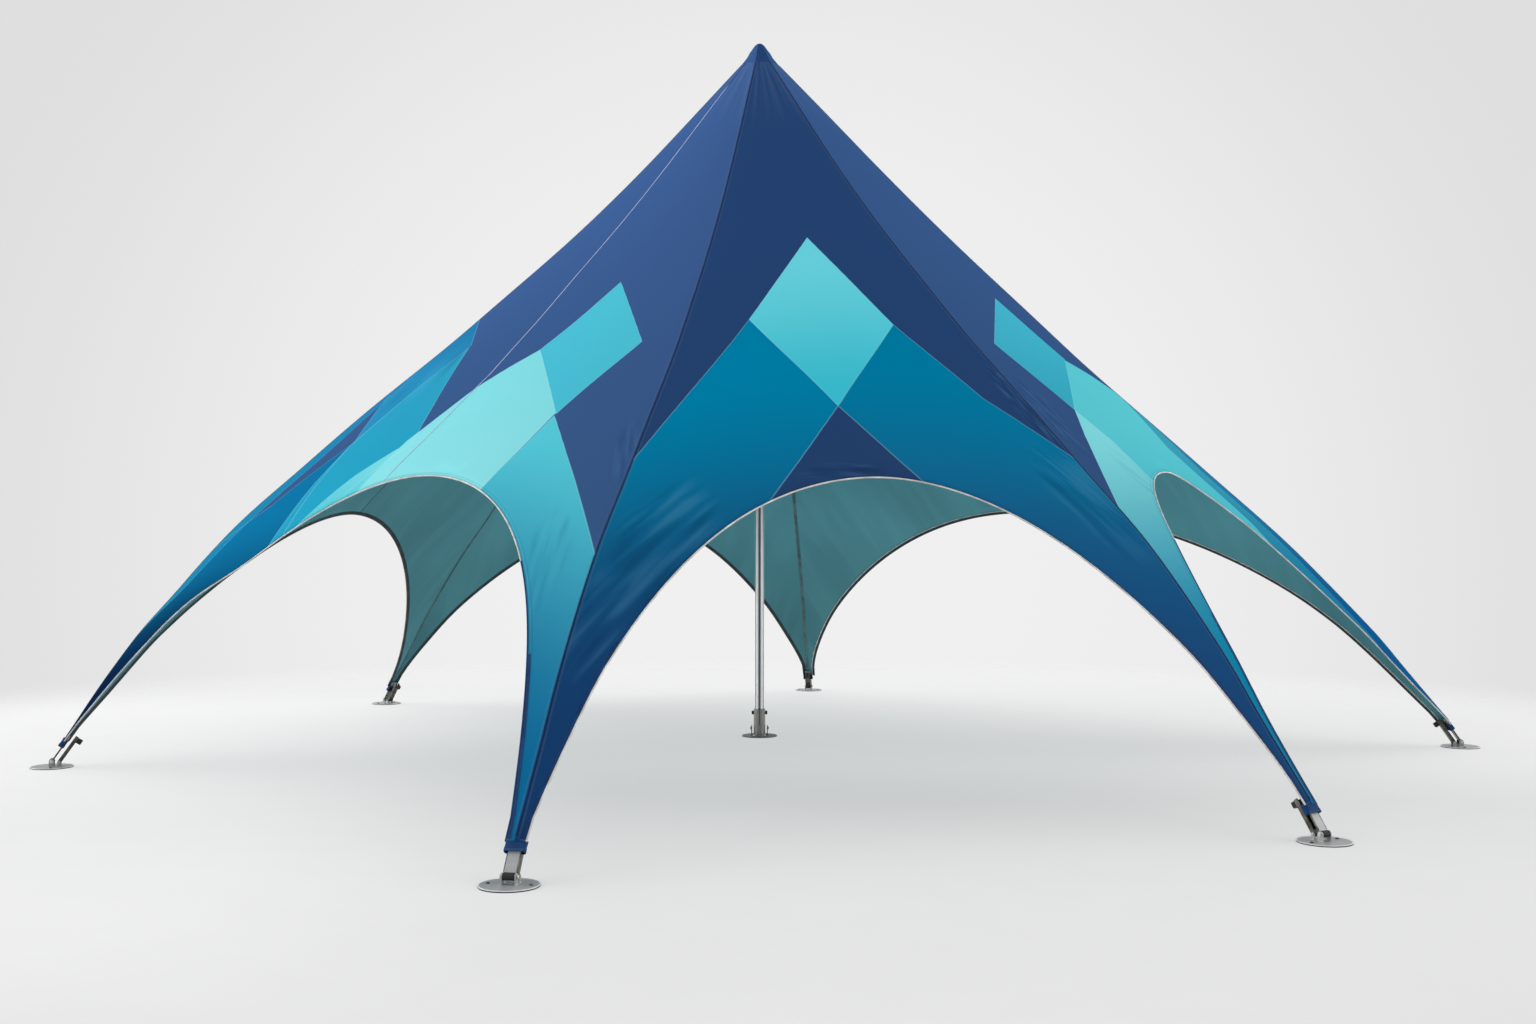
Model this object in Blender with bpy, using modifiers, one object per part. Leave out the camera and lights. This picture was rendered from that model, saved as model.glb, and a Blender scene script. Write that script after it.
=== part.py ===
# Star tent: a taut six-legged canopy on one mast, pinned to ground plates.
# Metres, +Z up. The origin is the middle of the mast's base plate, on the floor.
# The entrance side faces -Y.

from math import asin, cos, pi, radians, sin

import bmesh
import bpy
from mathutils import Matrix, Vector

# Legs: how far each ground plate is from the mast, its direction seen from above, and how much
# its ridge rises over the common one, in the middle and as an S.
LEGS = {
    "front_left": (5.50, -101.1, -0.11, -0.13),
    "front_right": (5.25, -57.0, 0.05, -0.10),
    "right": (5.30, -7.4, 0.07, -0.06),
    "rear": (4.05, 82.9, -0.01, 0.02),
    "rear_left": (4.45, 144.5, 0.00, 0.00),
    "left": (5.10, 200.1, 0.16, -0.13),
}
# Panels, going round: how far out the arch top lies, how much the panel swells, then for each
# of its two legs the power of the arch's curve and the share of it that widens evenly.
PANELS = {
    "front": (0.740, 0.21, {"front_left": (1.11, 0.27), "front_right": (0.89, 0.08)}),
    "front_right": (0.705, 0.13, {"front_right": (1.22, 0.12), "right": (0.47, 0.02)}),
    "rear_right": (0.785, 0.48, {"right": (1.51, 0.16), "rear": (0.96, 0.06)}),
    "rear": (0.785, 0.44, {"rear": (0.70, 0.04), "rear_left": (0.88, 0.04)}),
    "rear_left": (0.800, 0.38, {"rear_left": (1.00, 0.12), "left": (0.70, 0.04)}),
    "front_left": (0.790, 0.42, {"left": (0.55, 0.00), "front_left": (1.87, 0.22)}),
}

# Canopy: common ridge heights at stations out along a leg, 0 at the mast and 1 at the cuff.
RIDGE_STATIONS = (0.0, 0.1, 0.2, 0.3, 0.4, 0.5, 0.6, 0.7, 0.8, 0.9, 0.95, 1.0)
RIDGE_HEIGHTS = (5.535, 4.995, 4.440, 3.890, 3.350, 2.805, 2.300, 1.810, 1.360, 0.830, 0.520, 0.228)
CANOPY_THICKNESS = 0.006
LEG_HALF_WIDTH = 0.045
TOP_STATION = 0.0124
RIDGE_ARCH_TOP = 0.75
UPPER_ROWS = 8
ARCH_ROWS = 14
GORE_COLUMNS = 5
GAP = 0.0003
CAP_RADIUS = 0.070
CAP_EDGE = 0.008
CAP_EDGE_TAPER = 0.002
CAP_SHOULDER_RADIUS = 0.028
CAP_SHOULDER_DROP = 0.013
CAP_TIP_RADIUS = 0.012
CAP_CROWN = 0.004

# Ground plates and the fittings on them, in a frame with +X pointing away from the mast.
PLATE_RADIUS = 0.135
PLATE_THICKNESS = 0.008
PLATE_BEVEL = 0.002
BOLT_HOLE_RADIUS = 0.007
BOLT_HOLE_OFFSET = 0.100
LEAN = radians(56)
PIVOT = Vector((0.0, 0.0, 0.042))
PIVOT_PIN_RADIUS = 0.006
CHEEK_WIDTH = 0.032
CHEEK_THICKNESS = 0.006
CHEEK_OFFSET = 0.032
TONGUE_WIDTH = 0.056
TONGUE_THICKNESS = 0.008
TONGUE_START = 0.004
TONGUE_LENGTH = 0.200
TONGUE_BARREL_RADIUS = 0.0115
CUFF_START = 0.120
CUFF_END = 0.212
CUFF_WIDTH = 0.100
CUFF_DEPTH = 0.046
CUFF_SHIFT = 0.001
CUFF_ROUNDING = 0.012
CUFF_ROUNDING_STEPS = 3
RIDGE_OFFSET = 0.018
LEVER_SPACING = 0.042
LEVER_START = 0.020
LEVER_LENGTH = 0.195
LEVER_WIDTH = 0.048
LEVER_DEPTH = 0.024
LEVER_WALL = 0.003
LEVER_PIN_RADIUS = 0.005
LEVER_KNOB = (0.034, 0.030, 0.030)
LEVER_TROUGH_START = 0.020
LUG_OFFSET = 0.0295
LUG_RADIUS = 0.011
PIN_OVERHANG = 0.004
PIN_CLEARANCE = 0.0003
SEAT_OVERLAP = 0.001

# Mast, from its base plate to the head under the canopy's tip.
MAST_RADIUS = 0.035
MAST_WALL = 0.003
MAST_TOP = 5.380
BASE_RADIUS = 0.140
SOCKET_RIM_BEVEL = 0.002
SLOT_CUT_WIDTH = 0.060
SOCKET_RADIUS = 0.046
SOCKET_TOP = 0.215
SOCKET_FLANGE_RADIUS = 0.058
SOCKET_FLANGE_HEIGHT = 0.012
SLOT_WIDTH = 0.006
SLOT_BOTTOM = 0.095
KNOB_HEIGHT = 0.186
KNOB_RADIUS = 0.015
KNOB_LENGTH = 0.016
KNOB_STEPS = 20
KNOB_BEVEL = 0.002
EAR_HEIGHT = 0.085
EAR_WIDTH = 0.034
EAR_THICKNESS = 0.008
EAR_BOLT_RADIUS = 0.011
EAR_BOLT_LENGTH = 0.008
EAR_BOLT_DROP = 0.022
BASE_HOLE_OFFSET = 0.112
HEAD_RADIUS = 0.048
HEAD_EDGE_TAPER = 0.002
HEAD_SHOULDER = 0.030
HEAD_TOP_RADIUS = 0.024
HEAD_SPIGOT = 0.060
ROUND_STEPS = 32
SMALL_ROUND_STEPS = 16
PLATE_STEPS = 36

LEAN_UP = Vector((-cos(LEAN), 0.0, sin(LEAN)))
LEAN_IN = Vector((-sin(LEAN), 0.0, -cos(LEAN)))
CUFF_CENTRE_END = PIVOT + LEAN_UP * CUFF_END
LEG_END = CUFF_CENTRE_END - LEAN_IN * RIDGE_OFFSET
LEVER_PIVOT = PIVOT + LEAN_IN * LEVER_SPACING + LEAN_UP * LEVER_START

# Colours, as base colour, roughness and metallic value.
MATERIALS = {
    "navy_fabric": ((0.030, 0.060, 0.190), 0.75, 0.0),
    "blue_fabric": ((0.010, 0.190, 0.360), 0.75, 0.0),
    "cyan_fabric": ((0.110, 0.520, 0.600), 0.75, 0.0),
    "brushed_steel": ((0.520, 0.520, 0.510), 0.35, 1.0),
    "dark_steel": ((0.170, 0.170, 0.165), 0.45, 1.0),
    "mast_aluminium": ((0.640, 0.645, 0.650), 0.30, 1.0),
    "black_plastic": ((0.012, 0.012, 0.012), 0.50, 0.0),
}


# Scene housekeeping
def clear_scene():
    for obj in list(bpy.data.objects):
        bpy.data.objects.remove(obj, do_unlink=True)


def make_collection(name):
    collection = bpy.data.collections.new(name)
    bpy.context.scene.collection.children.link(collection)
    return collection


def make_material(name):
    colour, roughness, metallic = MATERIALS[name]
    material = bpy.data.materials.new(name)
    material.use_nodes = True
    shader = material.node_tree.nodes["Principled BSDF"]
    shader.inputs["Base Color"].default_value = (*colour, 1.0)
    shader.inputs["Roughness"].default_value = roughness
    shader.inputs["Metallic"].default_value = metallic
    return material


def add_object(name, mesh, collection, material=None):
    obj = bpy.data.objects.new(name, mesh)
    collection.objects.link(obj)
    if material is not None and not mesh.materials:
        mesh.materials.append(material)
    return obj


def mesh_from(bm, name, sharp_angle=radians(35)):
    bmesh.ops.recalc_face_normals(bm, faces=bm.faces)
    mesh = bpy.data.meshes.new(name)
    bm.to_mesh(mesh)
    bm.free()
    mesh.shade_smooth()
    mesh.set_sharp_from_angle(angle=sharp_angle)
    return mesh


# Simple solids, made where they are used
def box(size, centre, turn=None):
    bm = bmesh.new()
    bmesh.ops.create_cube(bm, size=1.0)
    bmesh.ops.scale(bm, vec=size, verts=bm.verts)
    if turn is not None:
        bmesh.ops.rotate(bm, cent=(0, 0, 0), matrix=turn, verts=bm.verts)
    bmesh.ops.translate(bm, vec=centre, verts=bm.verts)
    return mesh_from(bm, "box")


def cylinder(radius, length, centre, axis="Z", steps=SMALL_ROUND_STEPS):
    bm = bmesh.new()
    bmesh.ops.create_cone(bm, cap_ends=True, segments=steps, radius1=radius, radius2=radius, depth=length)
    turns = {"X": Matrix.Rotation(pi / 2, 3, "Y"), "Y": Matrix.Rotation(pi / 2, 3, "X")}
    if axis in turns:
        bmesh.ops.rotate(bm, cent=(0, 0, 0), matrix=turns[axis], verts=bm.verts)
    bmesh.ops.translate(bm, vec=centre, verts=bm.verts)
    return mesh_from(bm, "cylinder")


def bevel_edges(mesh, width, pick, segments=1):
    bm = bmesh.new()
    bm.from_mesh(mesh)
    edges = [edge for edge in bm.edges if pick(edge)]
    bmesh.ops.bevel(bm, geom=edges, offset=width, segments=segments, affect="EDGES", profile=0.5)
    bm.normal_update()
    bmesh.ops.recalc_face_normals(bm, faces=bm.faces)
    bm.to_mesh(mesh)
    bm.free()
    return mesh


# A turned solid from its outline, given from the top of its outer side downwards
def turned(name, outline, collection, material, steps=ROUND_STEPS, closed=False):
    mesh = bpy.data.meshes.new(name)
    count = len(outline)
    edges = [(i, i + 1) for i in range(count - 1)]
    if closed:
        edges.append((count - 1, 0))
    mesh.from_pydata([(radius, 0.0, height) for radius, height in outline], edges, [])
    obj = add_object(name, mesh, collection, material)
    screw = obj.modifiers.new("turn", "SCREW")
    screw.axis = "Z"
    screw.angle = 2 * pi
    screw.steps = steps
    screw.render_steps = steps
    screw.use_merge_vertices = True
    screw.merge_threshold = 0.00001
    screw.use_smooth_shade = True
    return obj


# Joins or cuts an object with a list of tool meshes, then returns the finished mesh
def carve(name, mesh, tools, cutters, material):
    obj = add_object(name + "_blank", mesh, cutters, material)
    helpers = []
    for index, (operation, tool_mesh) in enumerate(tools):
        tool = add_object(f"{name}_tool_{index}", tool_mesh, cutters)
        tool.hide_render = True
        tool.display_type = "WIRE"
        helpers.append(tool)
        step = obj.modifiers.new(f"step_{index}", "BOOLEAN")
        step.operation = operation
        step.solver = "EXACT"
        step.object = tool
    bpy.context.view_layer.update()
    done = bpy.data.meshes.new_from_object(obj.evaluated_get(bpy.context.evaluated_depsgraph_get()))
    done.name = name
    done.materials.clear()
    done.materials.append(material)
    done.shade_smooth()
    done.set_sharp_from_angle(angle=radians(35))
    for helper in helpers + [obj]:
        bpy.data.objects.remove(helper, do_unlink=True)
    return done


# Canopy surface
def common_height(station):
    last = len(RIDGE_STATIONS) - 2
    index = max(i for i in range(last + 1) if i == 0 or station >= RIDGE_STATIONS[i])

    def slope(i):
        low, high = max(i - 1, 0), min(i + 1, last + 1)
        return (RIDGE_HEIGHTS[high] - RIDGE_HEIGHTS[low]) / (RIDGE_STATIONS[high] - RIDGE_STATIONS[low])

    span = RIDGE_STATIONS[index + 1] - RIDGE_STATIONS[index]
    t = (station - RIDGE_STATIONS[index]) / span
    start, end = RIDGE_HEIGHTS[index], RIDGE_HEIGHTS[index + 1]
    if t > 1:
        return end + slope(index + 1) * (t - 1) * span
    blend = t * t * (3 - 2 * t)
    ease_in = t * (1 - t) ** 2 * span * slope(index)
    ease_out = t * t * (t - 1) * span * slope(index + 1)
    return start + (end - start) * blend + ease_in + ease_out


def ridge_height(leg, station):
    lift, skew = LEGS[leg][2:]
    reach = (station - TOP_STATION) / (1 - TOP_STATION)
    return common_height(station) + lift * sin(pi * reach) + skew * sin(2 * pi * reach)


def leg_direction(leg):
    angle = radians(LEGS[leg][1])
    return Vector((cos(angle), sin(angle), 0.0))


def leg_end(leg):
    return leg_direction(leg) * (LEGS[leg][0] + LEG_END.x)


# A point of a panel: station from mast to cuff, and share of the way across from its first leg
def panel_point(panel, station, share):
    _, swell, legs = PANELS[panel]
    first, second = legs
    point = leg_end(first).lerp(leg_end(second), share) * station
    point.z = (1 - share) * ridge_height(first, station) + share * ridge_height(second, station)
    point.z += swell * (station - TOP_STATION) * 4 * share * (1 - share)
    return point


# How far across a panel its cloth reaches at a station, up to the mid seam at 0.5
def edge_share(panel, leg, station):
    arch_top, _, legs = PANELS[panel]
    if station <= arch_top:
        return 0.5
    other = next(name for name in legs if name != leg)
    power, even_share = legs[leg]
    reach = abs(leg_direction(leg).cross(leg_end(other)).z)
    foot_share = LEG_HALF_WIDTH / reach
    angle = asin(max(0.0, min(1.0, (1 - station) / (1 - arch_top))))
    curve = even_share * angle * 2 / pi + (1 - even_share) * (1 - cos(angle)) ** power
    return foot_share + (0.5 - foot_share) * curve


# The same share counted from either of the panel's legs
def share_from(panel, leg, share):
    return share if leg == next(iter(PANELS[panel][2])) else 1 - share


def panel_normal(panel, station, share):
    step = 0.002
    along = panel_point(panel, station + step, share) - panel_point(panel, station - step, share)
    side = panel_point(panel, station, share + step) - panel_point(panel, station, share - step)
    normal = along.cross(side).normalized()
    return normal if normal.z > 0 else -normal


# The station where a line of equal share meets the plane of the cuff's upper end
def end_station(panel, leg, share):
    direction = leg_direction(leg)
    plane_point = direction * (LEGS[leg][0] + LEG_END.x) + Vector((0, 0, LEG_END.z))
    plane_normal = end_plane_normal(leg)
    low, high = 0.97, 1.03
    for _ in range(40):
        middle = (low + high) / 2
        above = (panel_point(panel, middle, share) - plane_point).dot(plane_normal) > 0
        low, high = (middle, high) if above else (low, middle)
    return (low + high) / 2


def end_plane_normal(leg):
    return leg_direction(leg) * LEAN_UP.x + Vector((0, 0, LEAN_UP.z))


def neighbour_panel(panel, leg):
    return next(name for name, (_, _, legs) in PANELS.items() if name != panel and leg in legs)


# Stations of the rows, close together round the top of an arch
def row_stations(arch_top):
    upper = [TOP_STATION + (arch_top - TOP_STATION) * i / UPPER_ROWS for i in range(UPPER_ROWS)]
    lower = [1 - (1 - arch_top) * cos(pi / 2 * i / ARCH_ROWS) for i in range(ARCH_ROWS + 1)]
    return upper + lower


# One gore: half a panel, lofted across rows of unlike length between its ridge and its mid seam
def gore_mesh(panel, leg):
    beside = neighbour_panel(panel, leg)
    columns = [i / GORE_COLUMNS for i in range(GORE_COLUMNS + 1)]
    rows = list(zip(row_stations(RIDGE_ARCH_TOP), row_stations(PANELS[panel][0])))
    outer, inner = [], []
    for row, (at_ridge, at_rim) in enumerate(rows):
        last = row == len(rows) - 1
        reach = edge_share(panel, leg, at_rim)
        outer_row, inner_row = [], []
        for across in columns:
            share = share_from(panel, leg, across * reach)
            station = end_station(panel, leg, share) if last else at_ridge + (at_rim - at_ridge) * across
            normal = panel_normal(panel, station, share)
            if across == 0:
                other_side = share_from(beside, leg, 0.0)
                normal = (normal + panel_normal(beside, station, other_side)).normalized()
            if row == 0:
                normal.z = 0.0
                normal.normalize()
            if last:
                plane_normal = end_plane_normal(leg)
                normal = (normal - plane_normal * normal.dot(plane_normal)).normalized()
            point = panel_point(panel, station, share)
            outer_row.append(point)
            inner_row.append(point - normal * CANOPY_THICKNESS)
        for line in (outer_row, inner_row):
            line[0] += (line[1] - line[0]).normalized() * GAP / 2
            if reach == 0.5:
                line[-1] += (line[-2] - line[-1]).normalized() * GAP / 2
        outer.append(outer_row)
        inner.append(inner_row)
    return loft_shell(outer, inner, f"{panel}_{leg}")


# A closed shell between two grids of points
def loft_shell(outer, inner, name):
    bm = bmesh.new()
    top = [[bm.verts.new(point) for point in line] for line in outer]
    bottom = [[bm.verts.new(point) for point in line] for line in inner]
    rows, columns = len(top), len(top[0])
    for j in range(rows - 1):
        for i in range(columns - 1):
            bm.faces.new((top[j][i], top[j][i + 1], top[j + 1][i + 1], top[j + 1][i]))
            bm.faces.new((bottom[j][i], bottom[j + 1][i], bottom[j + 1][i + 1], bottom[j][i + 1]))
    rim = [(0, i) for i in range(columns)] + [(j, columns - 1) for j in range(1, rows)]
    rim += [(rows - 1, i) for i in range(columns - 2, -1, -1)] + [(j, 0) for j in range(rows - 2, 0, -1)]
    for (j, i), (k, m) in zip(rim, rim[1:] + rim[:1]):
        bm.faces.new((top[j][i], bottom[j][i], bottom[k][m], top[k][m]))
    return mesh_from(bm, name)


def add_canopy(parts, materials):
    cloths = {"front": "blue_fabric", "front_left": "cyan_fabric", "front_right": "cyan_fabric"}
    for panel, (_, _, legs) in PANELS.items():
        for leg in legs:
            name = f"{panel}_panel_gore_at_{leg}_leg"
            mesh = gore_mesh(panel, leg)
            add_object(name, mesh, parts, materials[cloths.get(panel, "navy_fabric")])
    tip = RIDGE_HEIGHTS[0]
    foot = common_height(TOP_STATION) + GAP
    outline = [
        (0.0, tip + CAP_CROWN), (CAP_TIP_RADIUS, tip), (CAP_SHOULDER_RADIUS, tip - CAP_SHOULDER_DROP),
        (CAP_RADIUS - CAP_EDGE_TAPER, foot + CAP_EDGE), (CAP_RADIUS, foot), (0.0, foot),
    ]
    turned("peak_cap", outline, parts, materials["navy_fabric"])


# A bar along the lean, from start to end, with its middle at an inward offset
def leaning_box(start, end, offset, depth, y_low, y_high, origin):
    centre = origin + LEAN_UP * ((start + end) / 2) + LEAN_IN * offset
    centre.y = (y_low + y_high) / 2
    turn = Matrix.Rotation(-(pi / 2 - LEAN), 3, "Y")
    return box((depth, y_high - y_low, end - start), centre, turn)


# A round-headed lug that stands on the plate and carries a pin
def standing_lug(pin, offset, radius):
    foot = PLATE_THICKNESS - SEAT_OVERLAP
    post = box((2 * radius, CHEEK_THICKNESS, pin.z - foot), (pin.x, offset, (pin.z + foot) / 2))
    head = cylinder(radius, CHEEK_THICKNESS, (pin.x, offset, pin.z), "Y")
    return [("UNION", post), ("UNION", head)]


# Ground plate with its two cheeks, its lever lugs and the two fixed pins
def foot_mesh(cutters, material):
    plate = cylinder(PLATE_RADIUS, PLATE_THICKNESS, (0, 0, PLATE_THICKNESS / 2), steps=PLATE_STEPS)
    at_rim = lambda edge: all(v.co.z > PLATE_THICKNESS / 2 for v in edge.verts)
    bevel_edges(plate, PLATE_BEVEL, at_rim)
    tools = []
    for side in (-1, 1):
        tools += standing_lug(PIVOT, side * CHEEK_OFFSET, CHEEK_WIDTH / 2)
        tools += standing_lug(LEVER_PIVOT, side * LUG_OFFSET, LUG_RADIUS)
    pivot_span = 2 * CHEEK_OFFSET + CHEEK_THICKNESS + 2 * PIN_OVERHANG
    lever_span = 2 * LUG_OFFSET + CHEEK_THICKNESS + 2 * PIN_OVERHANG
    tools.append(("UNION", cylinder(PIVOT_PIN_RADIUS, pivot_span, PIVOT, "Y")))
    tools.append(("UNION", cylinder(LEVER_PIN_RADIUS, lever_span, LEVER_PIVOT, "Y")))
    for side in (-1, 1):
        hole = cylinder(BOLT_HOLE_RADIUS, 4 * PLATE_THICKNESS, (0, side * BOLT_HOLE_OFFSET, 0))
        tools.append(("DIFFERENCE", hole))
    return carve("foot_plate", plate, tools, cutters, material)


# Steel tongue that the leg's cloth is sewn round, with its barrel on the pivot pin
def tongue_mesh(cutters, material):
    half = TONGUE_WIDTH / 2
    blade = leaning_box(TONGUE_START, TONGUE_LENGTH, 0.0, TONGUE_THICKNESS, -half, half, PIVOT)
    barrel = cylinder(TONGUE_BARREL_RADIUS, TONGUE_WIDTH, PIVOT, "Y")
    bore = cylinder(PIVOT_PIN_RADIUS + PIN_CLEARANCE, 2 * TONGUE_WIDTH, PIVOT, "Y")
    return carve("tongue", blade, [("UNION", barrel), ("DIFFERENCE", bore)], cutters, material)


# Sewn cuff round the tongue
def cuff_mesh(cutters, material):
    half = CUFF_WIDTH / 2
    sleeve = leaning_box(CUFF_START, CUFF_END - GAP, CUFF_SHIFT, CUFF_DEPTH, -half, half, PIVOT)
    lean = LEAN_UP.copy()
    along_lean = lambda edge: abs((edge.verts[0].co - edge.verts[1].co).normalized().dot(lean)) > 0.99
    bevel_edges(sleeve, CUFF_ROUNDING, along_lean, CUFF_ROUNDING_STEPS)
    slot_half = TONGUE_WIDTH / 2 + GAP
    slot = leaning_box(0.0, 2 * CUFF_END, 0.0, TONGUE_THICKNESS + 2 * GAP, -slot_half, slot_half, PIVOT)
    return carve("cuff", sleeve, [("DIFFERENCE", slot)], cutters, material)


# Tension lever: a channel open towards the leg, with a block knob near its end
def lever_mesh(cutters, material):
    centre = Vector((0, 0, 0))
    half = LEVER_WIDTH / 2
    back = LEVER_DEPTH / 2
    body = leaning_box(0.0, LEVER_LENGTH, 0.0, LEVER_DEPTH, -half, half, centre)
    heel = cylinder(back, LEVER_WIDTH, centre, "Y")
    trough_half = half - LEVER_WALL
    trough_end = LEVER_LENGTH + LEVER_DEPTH
    trough = leaning_box(
        LEVER_TROUGH_START, trough_end, -LEVER_WALL, LEVER_DEPTH, -trough_half, trough_half, centre
    )
    bore = cylinder(LEVER_PIN_RADIUS + PIN_CLEARANCE, 2 * LEVER_WIDTH, centre, "Y")
    length, width, depth = LEVER_KNOB
    end = LEVER_LENGTH - SEAT_OVERLAP
    offset = back + depth / 2 - SEAT_OVERLAP
    knob = leaning_box(LEVER_LENGTH - length, end, offset, depth, -width / 2, width / 2, centre)
    tools = [("UNION", heel), ("DIFFERENCE", trough), ("DIFFERENCE", bore), ("UNION", knob)]
    return carve("lever", body, tools, cutters, material)


def add_feet(parts, cutters, materials):
    meshes = {
        "foot_plate": foot_mesh(cutters, materials["brushed_steel"]),
        "tongue": tongue_mesh(cutters, materials["brushed_steel"]),
        "cuff": cuff_mesh(cutters, materials["navy_fabric"]),
        "tension_lever": lever_mesh(cutters, materials["dark_steel"]),
    }
    for leg, (distance, angle, _, _) in LEGS.items():
        turn = Matrix.Rotation(radians(angle), 4, "Z")
        place = Matrix.Translation(leg_direction(leg) * distance) @ turn
        for kind, mesh in meshes.items():
            obj = add_object(f"{leg}_{kind}", mesh, parts)
            local = LEVER_PIVOT if kind == "tension_lever" else Vector((0, 0, 0))
            obj.matrix_world = place @ Matrix.Translation(local)


def add_mast(parts, cutters, materials):
    steel = materials["brushed_steel"]
    plate = cylinder(BASE_RADIUS, PLATE_THICKNESS, (0, 0, PLATE_THICKNESS / 2), steps=PLATE_STEPS)
    at_rim = lambda edge: all(v.co.z > PLATE_THICKNESS / 2 for v in edge.verts)
    bevel_edges(plate, PLATE_BEVEL, at_rim)
    tools = []
    ear_offset = SOCKET_FLANGE_RADIUS + GAP + EAR_THICKNESS / 2
    ear_foot = PLATE_THICKNESS - SEAT_OVERLAP
    bolt_offset = ear_offset + EAR_THICKNESS / 2 + EAR_BOLT_LENGTH / 2 - SEAT_OVERLAP
    for side in (-1, 1):
        size = (EAR_THICKNESS, EAR_WIDTH, EAR_HEIGHT - ear_foot)
        tools.append(("UNION", box(size, (side * ear_offset, 0, (EAR_HEIGHT + ear_foot) / 2))))
        bolt = (side * bolt_offset, 0, EAR_HEIGHT - EAR_BOLT_DROP)
        tools.append(("UNION", cylinder(EAR_BOLT_RADIUS, EAR_BOLT_LENGTH, bolt, "X", 6)))
        hole = cylinder(BOLT_HOLE_RADIUS, 4 * PLATE_THICKNESS, (side * BASE_HOLE_OFFSET, 0, 0))
        tools.append(("DIFFERENCE", hole))
    add_object("mast_base_plate", carve("mast_base_plate", plate, tools, cutters, steel), parts)

    floor = PLATE_THICKNESS + GAP
    bore = MAST_RADIUS + GAP
    outline = [
        (bore, SOCKET_TOP), (SOCKET_RADIUS - SOCKET_RIM_BEVEL, SOCKET_TOP),
        (SOCKET_RADIUS, SOCKET_TOP - SOCKET_RIM_BEVEL),
        (SOCKET_RADIUS, floor + SOCKET_FLANGE_HEIGHT), (SOCKET_FLANGE_RADIUS, floor + SOCKET_FLANGE_HEIGHT),
        (SOCKET_FLANGE_RADIUS, floor), (bore, floor),
    ]
    blank = turned("socket_blank", outline, cutters, steel, closed=True)
    bpy.context.view_layer.update()
    shape = bpy.data.meshes.new_from_object(blank.evaluated_get(bpy.context.evaluated_depsgraph_get()))
    bpy.data.objects.remove(blank, do_unlink=True)
    slot_height = SOCKET_TOP - SLOT_BOTTOM + SLOT_WIDTH
    slot_centre = (0, -SOCKET_RADIUS, SLOT_BOTTOM + slot_height / 2)
    slot = box((SLOT_WIDTH, SLOT_CUT_WIDTH, slot_height), slot_centre)
    keyhole = cylinder(SLOT_WIDTH, SLOT_CUT_WIDTH, (0, -SOCKET_RADIUS, SLOT_BOTTOM), "Y")
    tools = [("DIFFERENCE", slot), ("DIFFERENCE", keyhole)]
    add_object("mast_socket", carve("mast_socket", shape, tools, cutters, steel), parts)

    for side, word in ((-1, "left"), (1, "right")):
        start = SOCKET_RADIUS + GAP
        centre = (side * (start + KNOB_LENGTH / 2), 0, KNOB_HEIGHT)
        at_end = lambda edge: abs(edge.verts[0].co.x - edge.verts[1].co.x) < GAP
        knob = bevel_edges(cylinder(KNOB_RADIUS, KNOB_LENGTH, centre, "X", KNOB_STEPS), KNOB_BEVEL, at_end)
        add_object(f"mast_{word}_clamp_knob", knob, parts, materials["black_plastic"])

    inner = MAST_RADIUS - MAST_WALL
    tube = [(MAST_RADIUS, MAST_TOP), (MAST_RADIUS, floor), (inner, floor), (inner, MAST_TOP)]
    turned("mast_tube", tube, parts, materials["mast_aluminium"], closed=True)
    seat = MAST_TOP + GAP
    top = common_height(TOP_STATION) - GAP
    spigot_end = MAST_TOP - HEAD_SPIGOT
    head = [
        (0.0, top), (HEAD_TOP_RADIUS, top), (HEAD_RADIUS - HEAD_EDGE_TAPER, seat + HEAD_SHOULDER),
        (HEAD_RADIUS, seat), (inner - GAP, seat), (inner - GAP, spigot_end), (0.0, spigot_end),
    ]
    turned("mast_head", head, parts, materials["dark_steel"])


def main():
    clear_scene()
    parts = make_collection("star_tent")
    cutters = make_collection("cutters")
    materials = {name: make_material(name) for name in MATERIALS}
    add_canopy(parts, materials)
    add_feet(parts, cutters, materials)
    add_mast(parts, cutters, materials)


main()
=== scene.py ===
# Star tent: cloth, trim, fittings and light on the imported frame.
from functools import partialmethod, reduce
from math import asin, atan2, cos, pi, radians, sin, sqrt

import bmesh
import bpy
from mathutils import Matrix, Vector


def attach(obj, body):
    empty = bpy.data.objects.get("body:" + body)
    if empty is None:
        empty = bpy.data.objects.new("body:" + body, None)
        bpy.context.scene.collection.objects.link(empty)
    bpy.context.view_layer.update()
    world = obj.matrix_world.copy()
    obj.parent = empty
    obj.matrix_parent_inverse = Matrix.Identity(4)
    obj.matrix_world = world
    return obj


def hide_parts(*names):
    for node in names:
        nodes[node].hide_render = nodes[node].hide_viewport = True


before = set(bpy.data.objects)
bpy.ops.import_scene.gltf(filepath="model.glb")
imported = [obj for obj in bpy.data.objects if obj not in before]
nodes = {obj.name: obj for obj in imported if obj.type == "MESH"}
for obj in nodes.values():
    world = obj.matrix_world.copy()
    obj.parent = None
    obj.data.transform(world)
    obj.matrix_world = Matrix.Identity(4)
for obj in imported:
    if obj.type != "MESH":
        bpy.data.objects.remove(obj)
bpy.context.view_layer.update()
print("frame loaded,", len(nodes), "nodes")

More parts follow.
